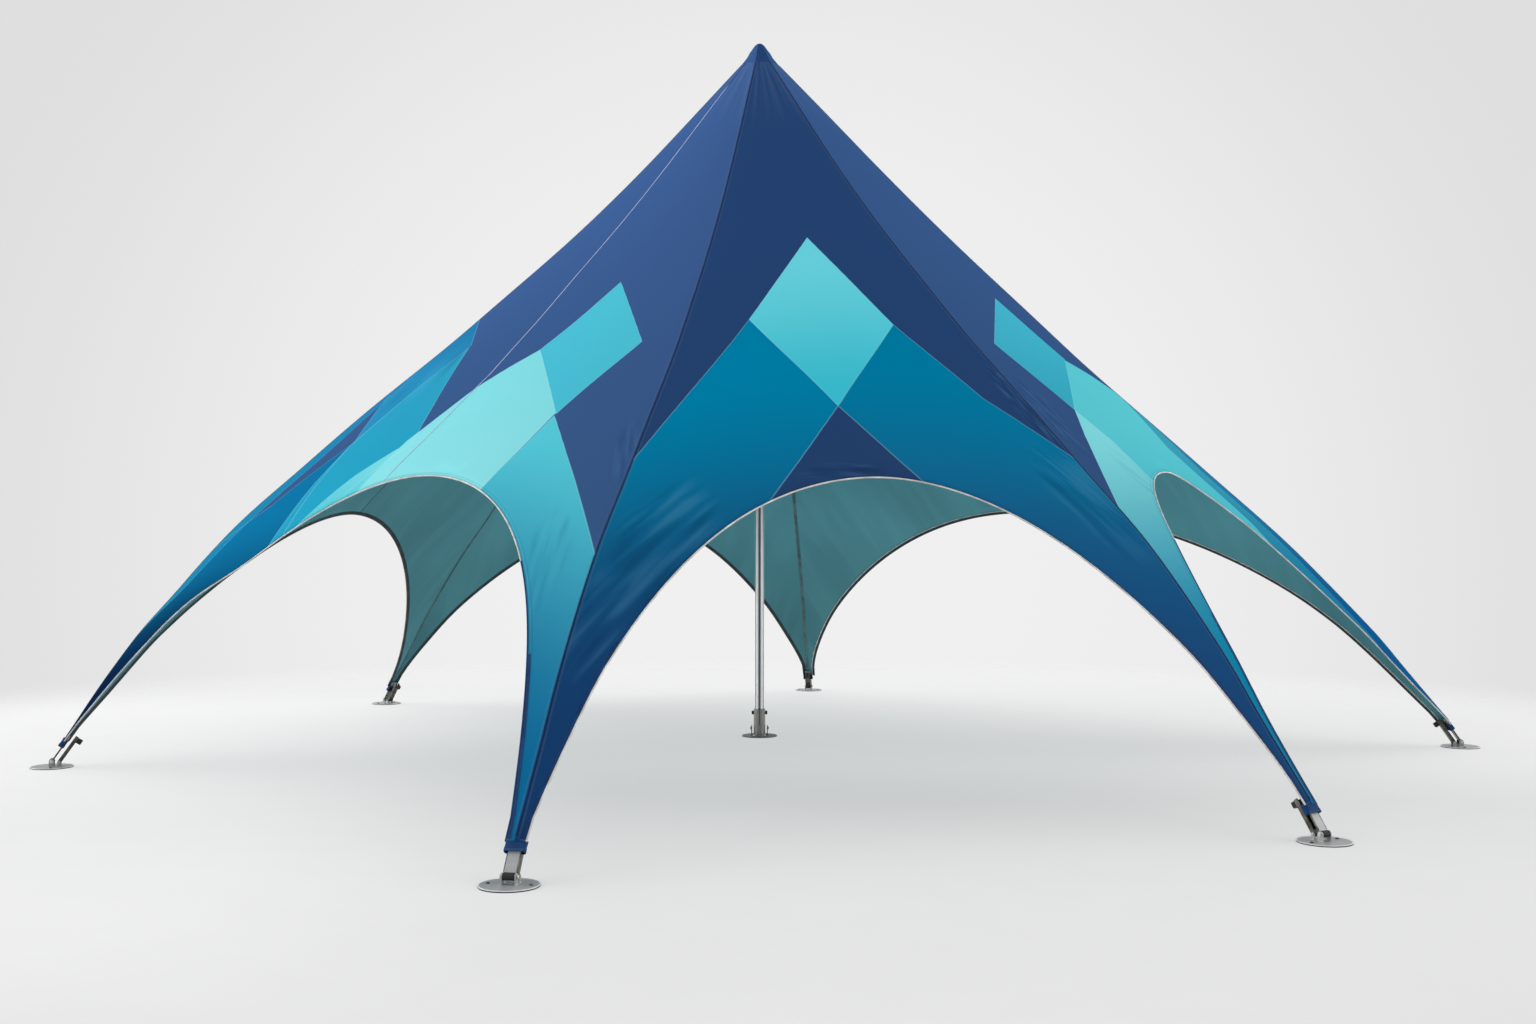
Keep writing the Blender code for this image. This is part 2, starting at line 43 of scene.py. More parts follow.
legs = {  # plate distance, direction seen from above, and the ridge's two height offsets
    "front_left": (5.50, -101.1, -0.11, -0.13),
    "front_right": (5.25, -57.0, 0.05, -0.10),
    "right": (5.30, -7.4, 0.07, -0.06),
    "rear": (4.05, 82.9, -0.01, 0.02),
    "rear_left": (4.45, 144.5, 0.00, 0.00),
    "left": (5.10, 200.1, 0.16, -0.13),
}
panels = {  # arch top, swell, and each leg's arch power and even share
    "front": (0.740, 0.21, {"front_left": (1.11, 0.27), "front_right": (0.89, 0.08)}),
    "front_right": (0.705, 0.13, {"front_right": (1.22, 0.12), "right": (0.47, 0.02)}),
    "rear_right": (0.785, 0.48, {"right": (1.51, 0.16), "rear": (0.96, 0.06)}),
    "rear": (0.785, 0.44, {"rear": (0.70, 0.04), "rear_left": (0.88, 0.04)}),
    "rear_left": (0.800, 0.38, {"rear_left": (1.00, 0.12), "left": (0.70, 0.04)}),
    "front_left": (0.7735, 0.42, {"left": (0.526, 0.90), "front_left": (1.374, 0.31)}),
}
archMiddles = {"front_left": 0.629}  # where an arch's top lies across its panel, if not halfway
ridgeStations = (0.0, 0.1, 0.2, 0.3, 0.4, 0.5, 0.6, 0.7, 0.8, 0.9, 0.95, 1.0)
ridgeHeights = (5.535, 4.995, 4.440, 3.890, 3.350, 2.805, 2.300, 1.810, 1.360, 0.830, 0.520, 0.228)
topStation = 0.0124
legHalfWidth = 0.048
lean = radians(56)
leanUp = Vector((-cos(lean), 0, sin(lean)))  # along a leg's fittings, in the leg's own frame
leanIn = Vector((-sin(lean), 0, -cos(lean)))
pivot = Vector((0, 0, 0.042))
cuffEnd = pivot + leanUp * 0.212
legEnd = cuffEnd - leanIn * 0.018
leverPivot = pivot + leanIn * 0.042 + leanUp * 0.020
clothReach = 0.055  # how far the cloth runs down inside the cuff
legTurn = {  # how the lower legs turn about their ridges: slope across the cloth, and more of it at the end
    ("front_left", "left"): (0.08, 0.0),
    ("rear_left", "left"): (-0.07, -0.38),
    ("rear_right", "right"): (-0.11, -0.12),
}
legBow = {  # a slight bow in two legs: station, reach above and below it, height
    "left": (0.947, 0.09, 0.065, 0.048),
    "right": (0.83, 0.13, 0.13, -0.030),
}
cuffShift = {"left": 0.010}  # how far out a cuff sits on its tongue


# The canopy's surface, as in the part's source
def commonHeight(t):
    last = len(ridgeStations) - 1
    i = max(k for k in range(last) if k == 0 or t >= ridgeStations[k])

    def slope(k):
        low, high = max(k - 1, 0), min(k + 1, last)
        return (ridgeHeights[high] - ridgeHeights[low]) / (ridgeStations[high] - ridgeStations[low])

    span = ridgeStations[i + 1] - ridgeStations[i]
    u = (t - ridgeStations[i]) / span
    start, end = ridgeHeights[i], ridgeHeights[i + 1]
    if u > 1:
        return end + slope(i + 1) * (u - 1) * span
    rise = start + (end - start) * u * u * (3 - 2 * u)
    return rise + u * (1 - u) ** 2 * span * slope(i) + u * u * (u - 1) * span * slope(i + 1)


def ridgeHeight(leg, t):
    lift, skew = legs[leg][2:]
    u = (t - topStation) / (1 - topStation)
    middle, above, below, rise = legBow.get(leg, (0.5, 1.0, 1.0, 0.0))
    bow = rise * max(0.0, 1 - ((t - middle) / (above if t < middle else below)) ** 2) ** 2
    return commonHeight(t) + lift * sin(pi * u) + skew * sin(2 * pi * u) + bow


def eased(value, low, high):
    u = min(1.0, max(0.0, (value - low) / (high - low)))
    return u * u * (3 - 2 * u)


def legDirection(leg):
    angle = radians(legs[leg][1])
    return Vector((cos(angle), sin(angle), 0))


def legFoot(leg):
    return legDirection(leg) * (legs[leg][0] + legEnd.x)


def panelPoint(panel, t, share):
    _, swell, pair = panels[panel]
    first, second = pair
    point = legFoot(first).lerp(legFoot(second), share) * t
    point.z = (1 - share) * ridgeHeight(first, t) + share * ridgeHeight(second, t)
    point.z += swell * (t - topStation) * 4 * share * (1 - share)
    for leg, fromLeg in ((first, share), (second, 1 - share)):
        slope, endSlope = legTurn.get((panel, leg), (0, 0))
        if slope and fromLeg < 0.5:
            turn = slope * eased(t, 0.87, 0.94) + endSlope * eased(t, 0.93, 0.99)
            point.z += turn * fromLeg * legReach(panel, leg)
    return point


def legReach(panel, leg):  # metres across a panel's foot line, square to the leg
    other = next(name for name in panels[panel][2] if name != leg)
    return abs(legDirection(leg).cross(legFoot(other)).z)


def edgeShare(panel, leg, t):
    archTop, _, pair = panels[panel]
    middle = shareFrom(panel, leg, archMiddles.get(panel, 0.5))
    if t <= archTop:
        return middle
    power, evenShare = pair[leg]
    angle = asin(max(0.0, min(1.0, (1 - t) / (1 - archTop))))
    curve = evenShare * angle * 2 / pi + (1 - evenShare) * (1 - cos(angle)) ** power
    foot = legHalfWidth / legReach(panel, leg)
    return foot + (middle - foot) * curve


def shareFrom(panel, leg, share):
    return share if leg == next(iter(panels[panel][2])) else 1 - share


def panelNormal(panel, t, share):
    step = 0.002
    along = panelPoint(panel, t + step, share) - panelPoint(panel, t - step, share)
    side = panelPoint(panel, t, share + step) - panelPoint(panel, t, share - step)
    normal = along.cross(side).normalized()
    return normal if normal.z > 0 else -normal


def halved(low, high, isShort):  # closes in on the station where something stops being short
    for _ in range(30):
        middle = (low + high) / 2
        low, high = (middle, high) if isShort(middle) else (low, middle)
    return (low + high) / 2


def endStation(panel, leg, share):  # where a line of equal share meets the cuff's upper end
    facing = legDirection(leg) * leanUp.x + Vector((0, 0, leanUp.z))
    atEnd = legFoot(leg) + Vector((0, 0, legEnd.z)) - facing * clothReach
    return halved(0.97, 1.05, lambda t: (panelPoint(panel, t, share) - atEnd).dot(facing) > 0)


def rimStation(panel, share):  # where a line of equal share meets the arch
    first, second = panels[panel][2]
    leg = first if share < archMiddles.get(panel, 0.5) else second
    wanted = shareFrom(panel, leg, share)
    return halved(panels[panel][0], 1.0, lambda t: edgeShare(panel, leg, t) > wanted)


# Node trees, for materials, the world and what repeats: sockets that add their own Math nodes
class Wire:
    def __init__(self, graph, socket):
        self.graph, self.socket = graph, socket

    def math(self, operation, *others):
        return self.graph.math(operation, self, *others)

    def swapped(self, operation, other):
        return self.graph.math(operation, other, self)

    __add__ = __radd__ = partialmethod(math, "ADD")
    __mul__ = __rmul__ = partialmethod(math, "MULTIPLY")
    __sub__ = partialmethod(math, "SUBTRACT")
    __rsub__ = partialmethod(swapped, "SUBTRACT")
    __rtruediv__ = partialmethod(swapped, "DIVIDE")
    above = partialmethod(math, "GREATER_THAN")
    below = partialmethod(math, "LESS_THAN")
    least = partialmethod(math, "MINIMUM")
    most = partialmethod(math, "MAXIMUM")
    size = partialmethod(math, "ABSOLUTE")
    wave = partialmethod(math, "SINE")

    def ease(self, low, high, start=0.0, end=1.0):  # start below low, end above high, smooth between
        values = {"Value": self, "From Min": low, "From Max": high, "To Min": start, "To Max": end}
        return self.graph.node("ShaderNodeMapRange", {"interpolation_type": "SMOOTHSTEP"}, values)


class Graph:
    def __init__(self, tree):
        self.tree = tree

    def feed(self, node, key, value):
        if isinstance(value, Wire):
            self.tree.links.new(value.socket, node.inputs[key])
        else:
            node.inputs[key].default_value = value

    def node(self, kind, settings=None, values=None, output=0):
        made = self.tree.nodes.new(kind)
        for key, value in (settings or {}).items():
            setattr(made, key, value)
        for key, value in values.items() if isinstance(values, dict) else enumerate(values or []):
            self.feed(made, key, value)
        return Wire(self, made.outputs[output]) if len(made.outputs) else None

    def math(self, operation, *values):
        return self.node("ShaderNodeMath", {"operation": operation}, values)

    def mix(self, factor, first, second):  # colours are wires, linear values or screen codes
        first, second = (fromHex(c) if isinstance(c, str) else c for c in (first, second))
        first, second = (c if isinstance(c, Wire) else (*c, 1) for c in (first, second))
        return self.node("ShaderNodeMix", {"data_type": "RGBA"}, {0: factor, 6: first, 7: second}, 2)

    def place(self):
        return self.node("ShaderNodeTexCoord", output=3)

    def outputs(self, wire):  # all the outputs of the node a wire comes from
        return [Wire(self, socket) for socket in wire.socket.node.outputs]

    def split(self, vector):
        return self.outputs(self.node("ShaderNodeSeparateXYZ", None, [vector]))

    def join(self, x, y, z):
        return self.node("ShaderNodeCombineXYZ", None, [x, y, z])

    def uv(self, name):
        return self.node("ShaderNodeUVMap", {"uv_map": name})

    def noise(self, vector, scale, detail=2.0, roughness=0.5):
        values = {"Vector": vector, "Scale": scale, "Detail": detail, "Roughness": roughness}
        return self.node("ShaderNodeTexNoise", None, values)

    def stretch(self, vector, x, y, z):
        return self.node("ShaderNodeVectorMath", {"operation": "MULTIPLY"}, [vector, (x, y, z)])

    def bump(self, height):
        return self.node("ShaderNodeBump", None, {"Strength": 1.0, "Distance": 1.0, "Height": height})


class Shade(Graph):
    def __init__(self, name):
        self.material = bpy.data.materials.new(name)
        self.material.use_nodes = True
        super().__init__(self.material.node_tree)

    def finish(self, colour, roughness, metallic=0.0, height=None, specular=0.5, **more):
        values = {"Base Color": colour, "Roughness": roughness, "Metallic": metallic, "Specular IOR Level": specular}
        if height is not None:
            values["Normal"] = self.bump(height)
        for key, value in {**values, **more}.items():
            self.feed(self.tree.nodes["Principled BSDF"], key, value)
        return self.material


def fromHex(code, dim=1.0):  # a colour as seen on screen, turned linear and dimmed
    parts = [int(code[i:i + 2], 16) / 255 for i in (0, 2, 4)]
    return tuple(dim * (c / 12.92 if c <= 0.04045 else ((c + 0.055) / 1.055) ** 2.4) for c in parts)


# How far inside a convex outline of (share, station) corners a point of the cloth lies
def inset(shade, flat, corners):
    spots = [Vector((share, 1 / station, 1)) for share, station in corners]
    middle = sum(spots, Vector((0, 0, 0))) / len(spots)
    sides = []
    for here, ahead in zip(spots, spots[1:] + spots[:1]):
        line = here.cross(ahead)
        line /= sqrt(line.x ** 2 + line.y ** 2)
        if line.dot(middle) < 0:
            line = -line
        sides.append(shade.node("ShaderNodeVectorMath", {"operation": "DOT_PRODUCT"}, [flat, tuple(line)], 1))
    return reduce(Wire.least, sides)


cloth = {
    "edgeLight": "A8DDE8",
    "edgeStrength": 0.14,
    "edgeWidth": 0.0016,
    "weavePitch": 900.0,
    "weaveRise": 0.000004,
    "soft": ((7.0, 1.1, 1.0), 0.002),  # grain across and along, and its rise
    "broad": ((1.6, 0.7, 1.0), 0.008),
    "lap": (0.008, 0.011, 0.016, 0.020),  # from a ridge: where its lap's painted highlight starts, is full, falls off and ends
    "lapHighlight": 0.03,
    # painted highlights in streaks near the mast: the stations over which they fade out, and their strength
    "rayStations": (0.03, 0.16),
    "rayHighlightTone": 0.05,
    # the colour of the painted highlights, on the laps and in the streaks near the mast
    "pale": "B4CBE0",
    "hollow": ("06203C", -1.5, 0.28),  # painted shade in a fold's hollows and painted highlight on its crests: the colour, how strongly it comes in, and its most
    "crestHighlight": ("6FB2D4", 0.4, 0.08),
    "thickness": 0.0016,
    "rowsAbove": 34,
    "ridgeBreak": 0.66,
    "rowsBelow": 66,
    "columns": 12,
    "lengthOverReach": 1.45,  # a leg's cloth, measured along it, over its plate's distance
}
printed = {"front": 0.80, "left": 0.68, "right": 0.63}  # the sides stand in more light
# each side's navy near the mast and near the foot; the side panels' navy is painted lighter, as sheen and the stronger
# light falling on them
navy = {"front": ("203B65", "1F385C"), "left": ("324E7C", "2E4A70"), "right": ("2C4872", "294267")}
bands = {  # outlines as (share, station), then the colour near the mast and the one near the foot
    "front": [
        ([[(0.24, 0.466), (0.471, 0.63), (-0.05, 1.33), (-0.05, 0.7385)]], "007CA4", "173D6C", 0.56, 0.95),
        ([[(0.742, 0.488), (0.95, 0.7137), (0.95, 1.22), (0.871, 1.22), (0.471, 0.63)],
          [(0.80, 0.572), (0.80, 1.05), (0.871, 1.22), (1.05, 2.10), (1.05, 0.72)]], "00789F", "1D4777", 0.54, 0.95),
        ([[(0.534, 0.335), (0.742, 0.488), (0.471, 0.63), (0.24, 0.466)]], "66D0DC", "38BACD", 0.36, 0.62),
    ],
    "left": [
        ([[(-0.02, 0.44), (0.221, 0.527), (0.198, 0.70), (-0.02, 0.56)]], "2579AC", "2A8FBC", 0.45, 0.60),
        ([[(0.05, 0.892), (0.191, 0.70), (0.32, 0.88), (0.32, 1.2), (0.05, 1.2)],
          [(0.18, 0.7707), (0.18, 1.2), (-0.05, 1.2), (-0.05, 0.83)]], "0F74A4", "0A2244", 0.80, 0.975),
        ([[(-0.05, 0.50), (0.055, 0.58), (0.088, 0.70), (0.088, 0.77), (0.03, 0.88), (-0.05, 0.98)]],
         "2581B2", "1E86AE", 0.55, 0.85),
        ([[(0.224, 0.531), (0.45, 0.725), (0.36, 0.86), (0.28, 0.86), (0.191, 0.70)]], "2F9FC2", "27A2C4", 0.55, 0.80),
        ([[(0.426, 0.719), (0.483, 0.625), (0.573, 0.554), (0.774, 0.651), (0.729, 0.778), (0.70, 0.9), (0.426, 0.9)]],
         "84E0E8", "8CE4EA", 0.55, 0.78),
        ([[(0.296, 0.844), (0.371, 0.775), (0.43, 0.712), (0.43, 0.9), (0.296, 0.9)]], "80DEE6", "5CC9D8", 0.72, 0.84),
        ([[(0.774, 0.651), (0.904, 0.727), (1.05, 0.83), (1.05, 1.2), (0.66, 1.2), (0.729, 0.778)]],
         "58CFE0", "0F6C9C", 0.66, 0.98),
        ([[(0.667, 0.418), (0.883, 0.501), (0.774, 0.651), (0.573, 0.554)]], "50C6DC", "4BC2DA", 0.42, 0.65),
    ],
    "right": [
        ([[(-0.05, 0.80), (-0.002, 0.755), (0.168, 0.653), (0.261, 0.614), (0.724, 0.505), (0.866, 0.52),
           (1.05, 0.535), (1.05, 1.2), (-0.05, 1.2)]], "5ECFDA", "3EB4CB", 0.60, 0.95),
        ([[(0.261, 0.614), (0.313, 0.665), (0.315, 0.76), (0.30, 1.2), (-0.05, 1.2), (-0.05, 0.80), (-0.002, 0.755),
           (0.168, 0.653)]], "84E0E6", "1088AE", 0.64, 0.92),
        ([[(1.05, 0.53), (0.779, 0.648), (0.772, 0.77), (0.772, 1.2), (1.05, 1.2)],
          [(0.82, 0.718), (0.70, 0.86), (0.69, 1.2), (0.82, 1.2)]], "3FA5BE", "1F7FA6", 0.62, 0.90),
        ([[(1.05, 0.545), (0.902, 0.674), (0.902, 1.2), (1.05, 1.2)]], "2B86B0", "0F5F99", 0.62, 0.90),
        ([[(0.627, 0.412), (0.724, 0.505), (0.261, 0.614), (0.148, 0.505)]], "45BAD3", "3AAFC8", 0.42, 0.62),
    ],
}
foldStrength = {"front": 1.0, "left": 0.55, "right": 0.75}
folds = {  # middle, reach (both share and 1/station), direction across the folds, spacing and height
    "front": [
        (0.110, 1.27, 0.11, 0.15, 0.69, -0.72, 0.040, 0.016),
        (0.035, 1.17, 0.05, 0.08, 0.69, -0.72, 0.026, 0.008),
        (0.950, 1.36, 0.10, 0.16, 0.914, 0.405, 0.040, 0.012),
        (0.985, 1.68, 0.05, 0.22, 1.0, 0.06, 0.020, 0.006),
        (0.440, 1.37, 0.10, 0.03, 0.1, 1.0, 0.030, 0.004),
    ],
    "left": [
        (0.915, 1.22, 0.05, 0.10, 1.0, 0.15, 0.024, 0.005),
        (0.980, 1.52, 0.04, 0.14, 1.0, 0.25, 0.024, 0.005),
        (0.200, 1.72, 0.12, 0.20, 1.0, 0.30, 0.090, 0.006),
    ],
    "right": [
        (0.070, 1.64, 0.08, 0.20, 1.0, 0.20, 0.026, 0.006),
        (0.270, 1.40, 0.10, 0.12, 1.0, 0.55, 0.050, 0.005),
    ],
}


# Woven, coated polyester: fine weave, soft folds and a broad unevenness
def weaveHeight(shade, coarse):
    thread = shade.uv("weave")
    across, along, _ = shade.split(thread)
    pitch = cloth["weavePitch"] * 2 * pi
    height = (across * pitch).wave() * (along * pitch).wave() * cloth["weaveRise"]
    uneven = []
    for grain, rise in (cloth["soft"], cloth["broad"]):
        uneven.append(shade.noise(shade.stretch(thread, *grain), 1.0, 1.0, 0.4))
        height += uneven[-1] * rise * coarse
    return height, *uneven


def foldReliefAndShading(shade, kind, share, inverse):  # small groups of pulled folds where the photo shows them
    # each fold gives relief, and a tone that paints shade in its hollows and highlight on its crests
    height, tone = 0.0, 0.0
    for number, (s0, v0, reachS, reachV, a, b, spacing, rise) in enumerate(folds[kind]):
        fromS, fromV = (share - s0) * (1 / reachS), (inverse - v0) * (1 / reachV)
        mask = (1.0 - fromS * fromS - fromV * fromV).ease(0.0, 0.8) * foldStrength[kind]
        across = (share * a + inverse * b) * (1.7 / spacing)
        along = (inverse * a - share * b) * (0.25 / spacing)
        ridges = (shade.noise(shade.join(across, along, 5.0 * number), 1.0, 1.5, 0.4) - 0.5) * mask
        height, tone = height + ridges * rise, tone + ridges
    return height, tone


def outsideMaterial(kind):
    shade = Shade("tent_cloth_" + kind)
    share, inverse, _ = shade.split(shade.uv("cut"))
    fromRidge = shade.split(shade.uv("edge"))[0]
    flat = shade.join(share, inverse, 1.0)
    station = 1.0 / inverse
    height, soft, _ = weaveHeight(shade, 1.0)
    foldRise, foldShading = foldReliefAndShading(shade, kind, share, inverse)
    colour = shade.mix(station.ease(0.3, 0.95), *navy[kind])
    edges = []
    for outlines, near, far, start, end in bands[kind]:
        depth = reduce(Wire.most, [inset(shade, flat, corners) for corners in outlines])
        tone = shade.mix(station.ease(start, end), fromHex(near, printed[kind]), fromHex(far, printed[kind]))
        colour = shade.mix(depth.above(0.0), colour, tone)
        edges.append(depth.size().below(cloth["edgeWidth"]))
    colour = shade.mix(reduce(Wire.most, edges) * cloth["edgeStrength"], colour, cloth["edgeLight"])
    # painted highlight along each ridge's lap
    lap = fromRidge.ease(*cloth["lap"][:2]) * (1.0 - fromRidge.ease(*cloth["lap"][2:]))
    # painted highlights: pale streaks on the cloth near the mast
    rayHighlights = shade.noise(shade.join(share * 9.0, inverse * 0.02, 0.0), 1.0, 1.0).ease(0.35, 0.75)
    rayHighlights = rayHighlights * (1.0 - station.ease(*cloth["rayStations"])) * cloth["rayHighlightTone"]
    colour = shade.mix((lap * cloth["lapHighlight"]).most(rayHighlights), colour, cloth["pale"])
    # painted shade in the folds' hollows, then painted highlight on their crests
    for tone, strength, most in (cloth["hollow"], cloth["crestHighlight"]):
        colour = shade.mix((foldShading * strength).most(0.0).least(most), colour, tone)
    return shade.finish(colour, 0.6 + soft * 0.15, height=height + foldRise, specular=0.0)


def insideMaterial():  # a painted glow: emission stands in for a little daylight through the cloth, most of it high up
    shade = Shade("tent_cloth_inside")
    height, soft, broad = weaveHeight(shade, 0.7)
    colour = shade.mix(broad.ease(0.3, 0.7), "467C84", "3F7079")
    colour = shade.mix(soft.ease(0.4, 0.7) * 0.2, colour, "58909A")
    x, y, z = shade.split(shade.place())
    # painted light: stronger high up and towards the rear right
    high = z.ease(0.5, 2.3) * (0.5 + (x + y).ease(-3.0, 2.0) * 0.9)
    glow = {"Emission Color": shade.mix(high, (0.0, 0.0, 0.0), (0.015, 0.055, 0.067)), "Emission Strength": 1.0}
    return shade.finish(colour, 0.7 + soft * 0.1, height=height, specular=0.1, **glow)


def trimMaterial(name, light, dark, pitch, roughness=0.7, depth=0.0004):  # ribbed tape or webbing
    shade = Shade(name)
    across, along, _ = shade.split(shade.uv("weave"))
    rib = (along * (2 * pi / pitch)).wave() * (across * (2 * pi / (pitch * 2.2))).wave()
    patch = shade.noise(shade.place(), 14.0, 3.0)
    colour = shade.mix((patch + rib * 0.12).ease(0.3, 0.75), dark, light)
    return shade.finish(colour, roughness + patch * 0.1, height=rib * depth, specular=0.1)


def glintSeamMaterial():  # tape painted pale as a highlight where it catches the light, dark in its uppermost part
    shade = Shade("mid_seam")
    rib = (shade.split(shade.uv("weave"))[1] * (2 * pi / 0.004)).wave()
    patch = shade.noise(shade.place(), 14.0, 3.0)
    # painted highlight: the tape's pale colour
    pale = shade.mix(patch, "8A93B6", "A5AAC8")
    colour = shade.mix(shade.split(shade.place())[2].ease(5.10, 5.18), pale, "142C54")
    return shade.finish(colour, 0.7, height=rib * 0.0003, specular=0.1)


def capMaterial():  # cloth at the tip, each side in the shade of the panel it goes over into
    shade = Shade("peak_cloth")
    x, y, _ = shade.split(shade.place())
    patch = shade.noise(shade.place(), 30.0, 2.0)
    legLines = [legDirection(leg) for leg in ("front_left", "front_right")]
    left, right = (y * line.x - x * line.y for line in legLines)  # metres to the left of each line, from above
    # the sides take the side panels' navy, which is painted lighter as sheen and light
    sides = shade.mix(x.ease(-0.004, 0.004), fromHex(navy["left"][0], 0.9), fromHex(navy["right"][0], 0.9))
    front = left.ease(0.0, 0.0006) * (1.0 - right.ease(-0.0006, 0.0))
    colour = shade.mix(front * y.below(0.0), sides, navy["front"][0])
    # the ridges' dark line carried on over the tip, partly painted shadow of the crease
    seam = left.size().below(0.0022).most(right.size().below(0.0022)) * y.below(0.0)
    colour = shade.mix(seam * 0.8, colour, "142C54")
    return shade.finish(colour, 0.6 + patch * 0.1, height=patch * 0.0006, specular=0.0)


def threadMaterial(name, light, dark):
    shade = Shade(name)
    twist = shade.noise(shade.place(), 900.0, 1.0)
    return shade.finish(shade.mix(twist, dark, light), 0.6 + twist * 0.2, specular=0.3)


def brushedMaterial(name, light, dark, roughness, grain, metallic=0.3, contactShadowLine=0.0):
    shade = Shade(name)
    spot = shade.place()
    brush = shade.noise(shade.stretch(spot, *grain), 1.0, 3.0, 0.6)
    stain = shade.noise(spot, 9.0, 4.0, 0.6)
    colour = shade.mix(brush * 0.7 + stain * 0.3, dark, light)
    if contactShadowLine:  # painted contact shadow along the underside's edge
        colour = shade.mix(shade.split(spot)[2].below(contactShadowLine), colour, "3A3A38")
    rough = roughness + (stain - 0.5) * 0.25 + (brush - 0.5) * 0.15
    return shade.finish(colour, rough, metallic, brush * 0.00015 + stain * 0.0002)


def paintMaterial(name, light, dark, roughness, metallic=0.0):
    shade = Shade(name)
    spot = shade.place()
    grain = shade.noise(spot, 420.0, 2.0)
    wear = shade.noise(spot, 22.0, 5.0, 0.65)
    colour = shade.mix(wear.ease(0.35, 0.75), dark, light)
    return shade.finish(colour, roughness + (wear - 0.5) * 0.3, metallic, grain * 0.00012 + wear * 0.0002)


def mastMaterial():  # drawn aluminium with flutes; painted reflections as upright light and dark bands round it
    shade = Shade("mast_metal")
    spot = shade.place()
    x, y, _ = shade.split(spot)
    flute = (y.math("ARCTAN2", x) * 6.0 + pi / 2).wave()
    streak = shade.noise(shade.stretch(spot, 60.0, 60.0, 0.8), 1.0, 2.0)
    # painted reflections: light and dark bands by the angle round the mast
    colour = shade.mix(flute.ease(-0.7, 0.3) * 0.85 + streak * 0.15, "45484A", "D6D8D9")
    return shade.finish(colour, 0.34 + streak * 0.15, 0.5, flute * 0.0008 + streak * 0.0002)


print("materials")
outside = {kind: outsideMaterial(kind) for kind in bands}
inside = insideMaterial()
roundGrain, plateGrain = (30.0, 30.0, 30.0), (40.0, 3.0, 3.0)
finishes = {
    "piping": trimMaterial("edge_piping", "CDCCCA", "A8A6A2", 0.004),
    "pipingBlue": trimMaterial("edge_piping_blue", "1B3F6C", "12305A", 0.004),
    "pipingShade": trimMaterial("edge_piping_shaded", "6F6B64", "4B4843", 0.004),
    "hem": trimMaterial("edge_hem", "3A474B", "2A3539", 0.003),
    "hemBlue": trimMaterial("leg_hem", "143A68", "0E2C54", 0.003),
    "webbing": trimMaterial("ridge_webbing", "5F7B80", "43585C", 0.003, 0.8, 0.0006),
    "webbingDark": trimMaterial("leg_webbing", "26282B", "17191B", 0.003, 0.8, 0.0006),
    # dark navy tape on the ridges; its darkness is partly painted shadow of the ridge's crease
    "welt": trimMaterial("ridge_welt", "0F2A55", "0A1E42", 0.004),
    "seam": glintSeamMaterial(),
    "cuff": trimMaterial("leg_cuff", "1D4070", "163258", 0.0025),
    "thread": threadMaterial("thread_blue", "2A5080", "173562"),
    "threadPale": threadMaterial("thread_pale", "6F8FB4", "4C6D96"),
    "plate": brushedMaterial("plate_steel", "A9AAAB", "808183", 0.42, plateGrain, contactShadowLine=0.0042),
    "mastPlate": brushedMaterial("mast_plate_steel", "7E7E79", "595955", 0.42, plateGrain, contactShadowLine=0.0042),
    "tongue": brushedMaterial("tongue_steel", "ACAEAF", "7C7E80", 0.45, (3.0, 3.0, 60.0), 0.1),
    "socket": brushedMaterial("socket_steel", "8C8C88", "62625F", 0.38, (3.0, 3.0, 180.0)),
    "lever": paintMaterial("lever_steel", "6C6B64", "3C3B37", 0.42, 0.85),
    "mast": mastMaterial(),
    "rubber": paintMaterial("black_rubber", "1E1E1E", "111111", 0.8),
    # the plates' rounded rim, lighter than the plate's steel: partly painted highlight of its edge
    "rim": brushedMaterial("rim_steel", "DADBDC", "B4B6B8", 0.3, roundGrain),
    "bolt": brushedMaterial("bolt_steel", "D4D4D0", "A2A29E", 0.28, roundGrain, 0.6),
    "cap": capMaterial(),
}
nodeFinishes = {  # which finish a carried-over CAD node takes, by the end of its name
    "foot_plate": "plate",
    "tongue": "tongue",
    "tension_lever": "lever",
    "mast_base_plate": "mastPlate",
    "mast_socket": "socket",
    "mast_tube": "mast",
    "mast_head": "lever",
    "peak_cap": "cap",
    "clamp_knob": "rubber",
}
for name, node in nodes.items():
    for ending, finish in nodeFinishes.items():
        if name.endswith(ending):
            node.data.materials.clear()
            node.data.materials.append(finishes[finish])


# Objects and meshes
def placed(name, data):
    obj = bpy.data.objects.new(name, data)
    bpy.context.scene.collection.objects.link(obj)
    return obj


def keep(name, mesh, body="tent", instead=None):  # a finished piece, and the CAD node whose place it takes
    piece = placed(name, mesh)
    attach(piece, body)
    if instead:
        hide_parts(instead)
    return piece


def evaluated(obj):  # the object's modifiers worked into a plain mesh
    bpy.context.view_layer.update()
    mesh = bpy.data.meshes.new_from_object(obj.evaluated_get(bpy.context.evaluated_depsgraph_get()))
    obj.modifiers.clear()
    obj.data = mesh
    return obj


def cleaned(mesh, merge=0.0):  # near doubles merged, and all faces outwards on a closed shell
    bm = bmesh.new()
    bm.from_mesh(mesh)
    if merge:
        bmesh.ops.remove_doubles(bm, verts=bm.verts, dist=merge)
    bmesh.ops.recalc_face_normals(bm, faces=bm.faces)
    if merge and sum(face.normal.z for face in bm.faces) < 0:  # an open sheet faces up
        bmesh.ops.reverse_faces(bm, faces=bm.faces)
    bm.to_mesh(mesh)
    bm.free()


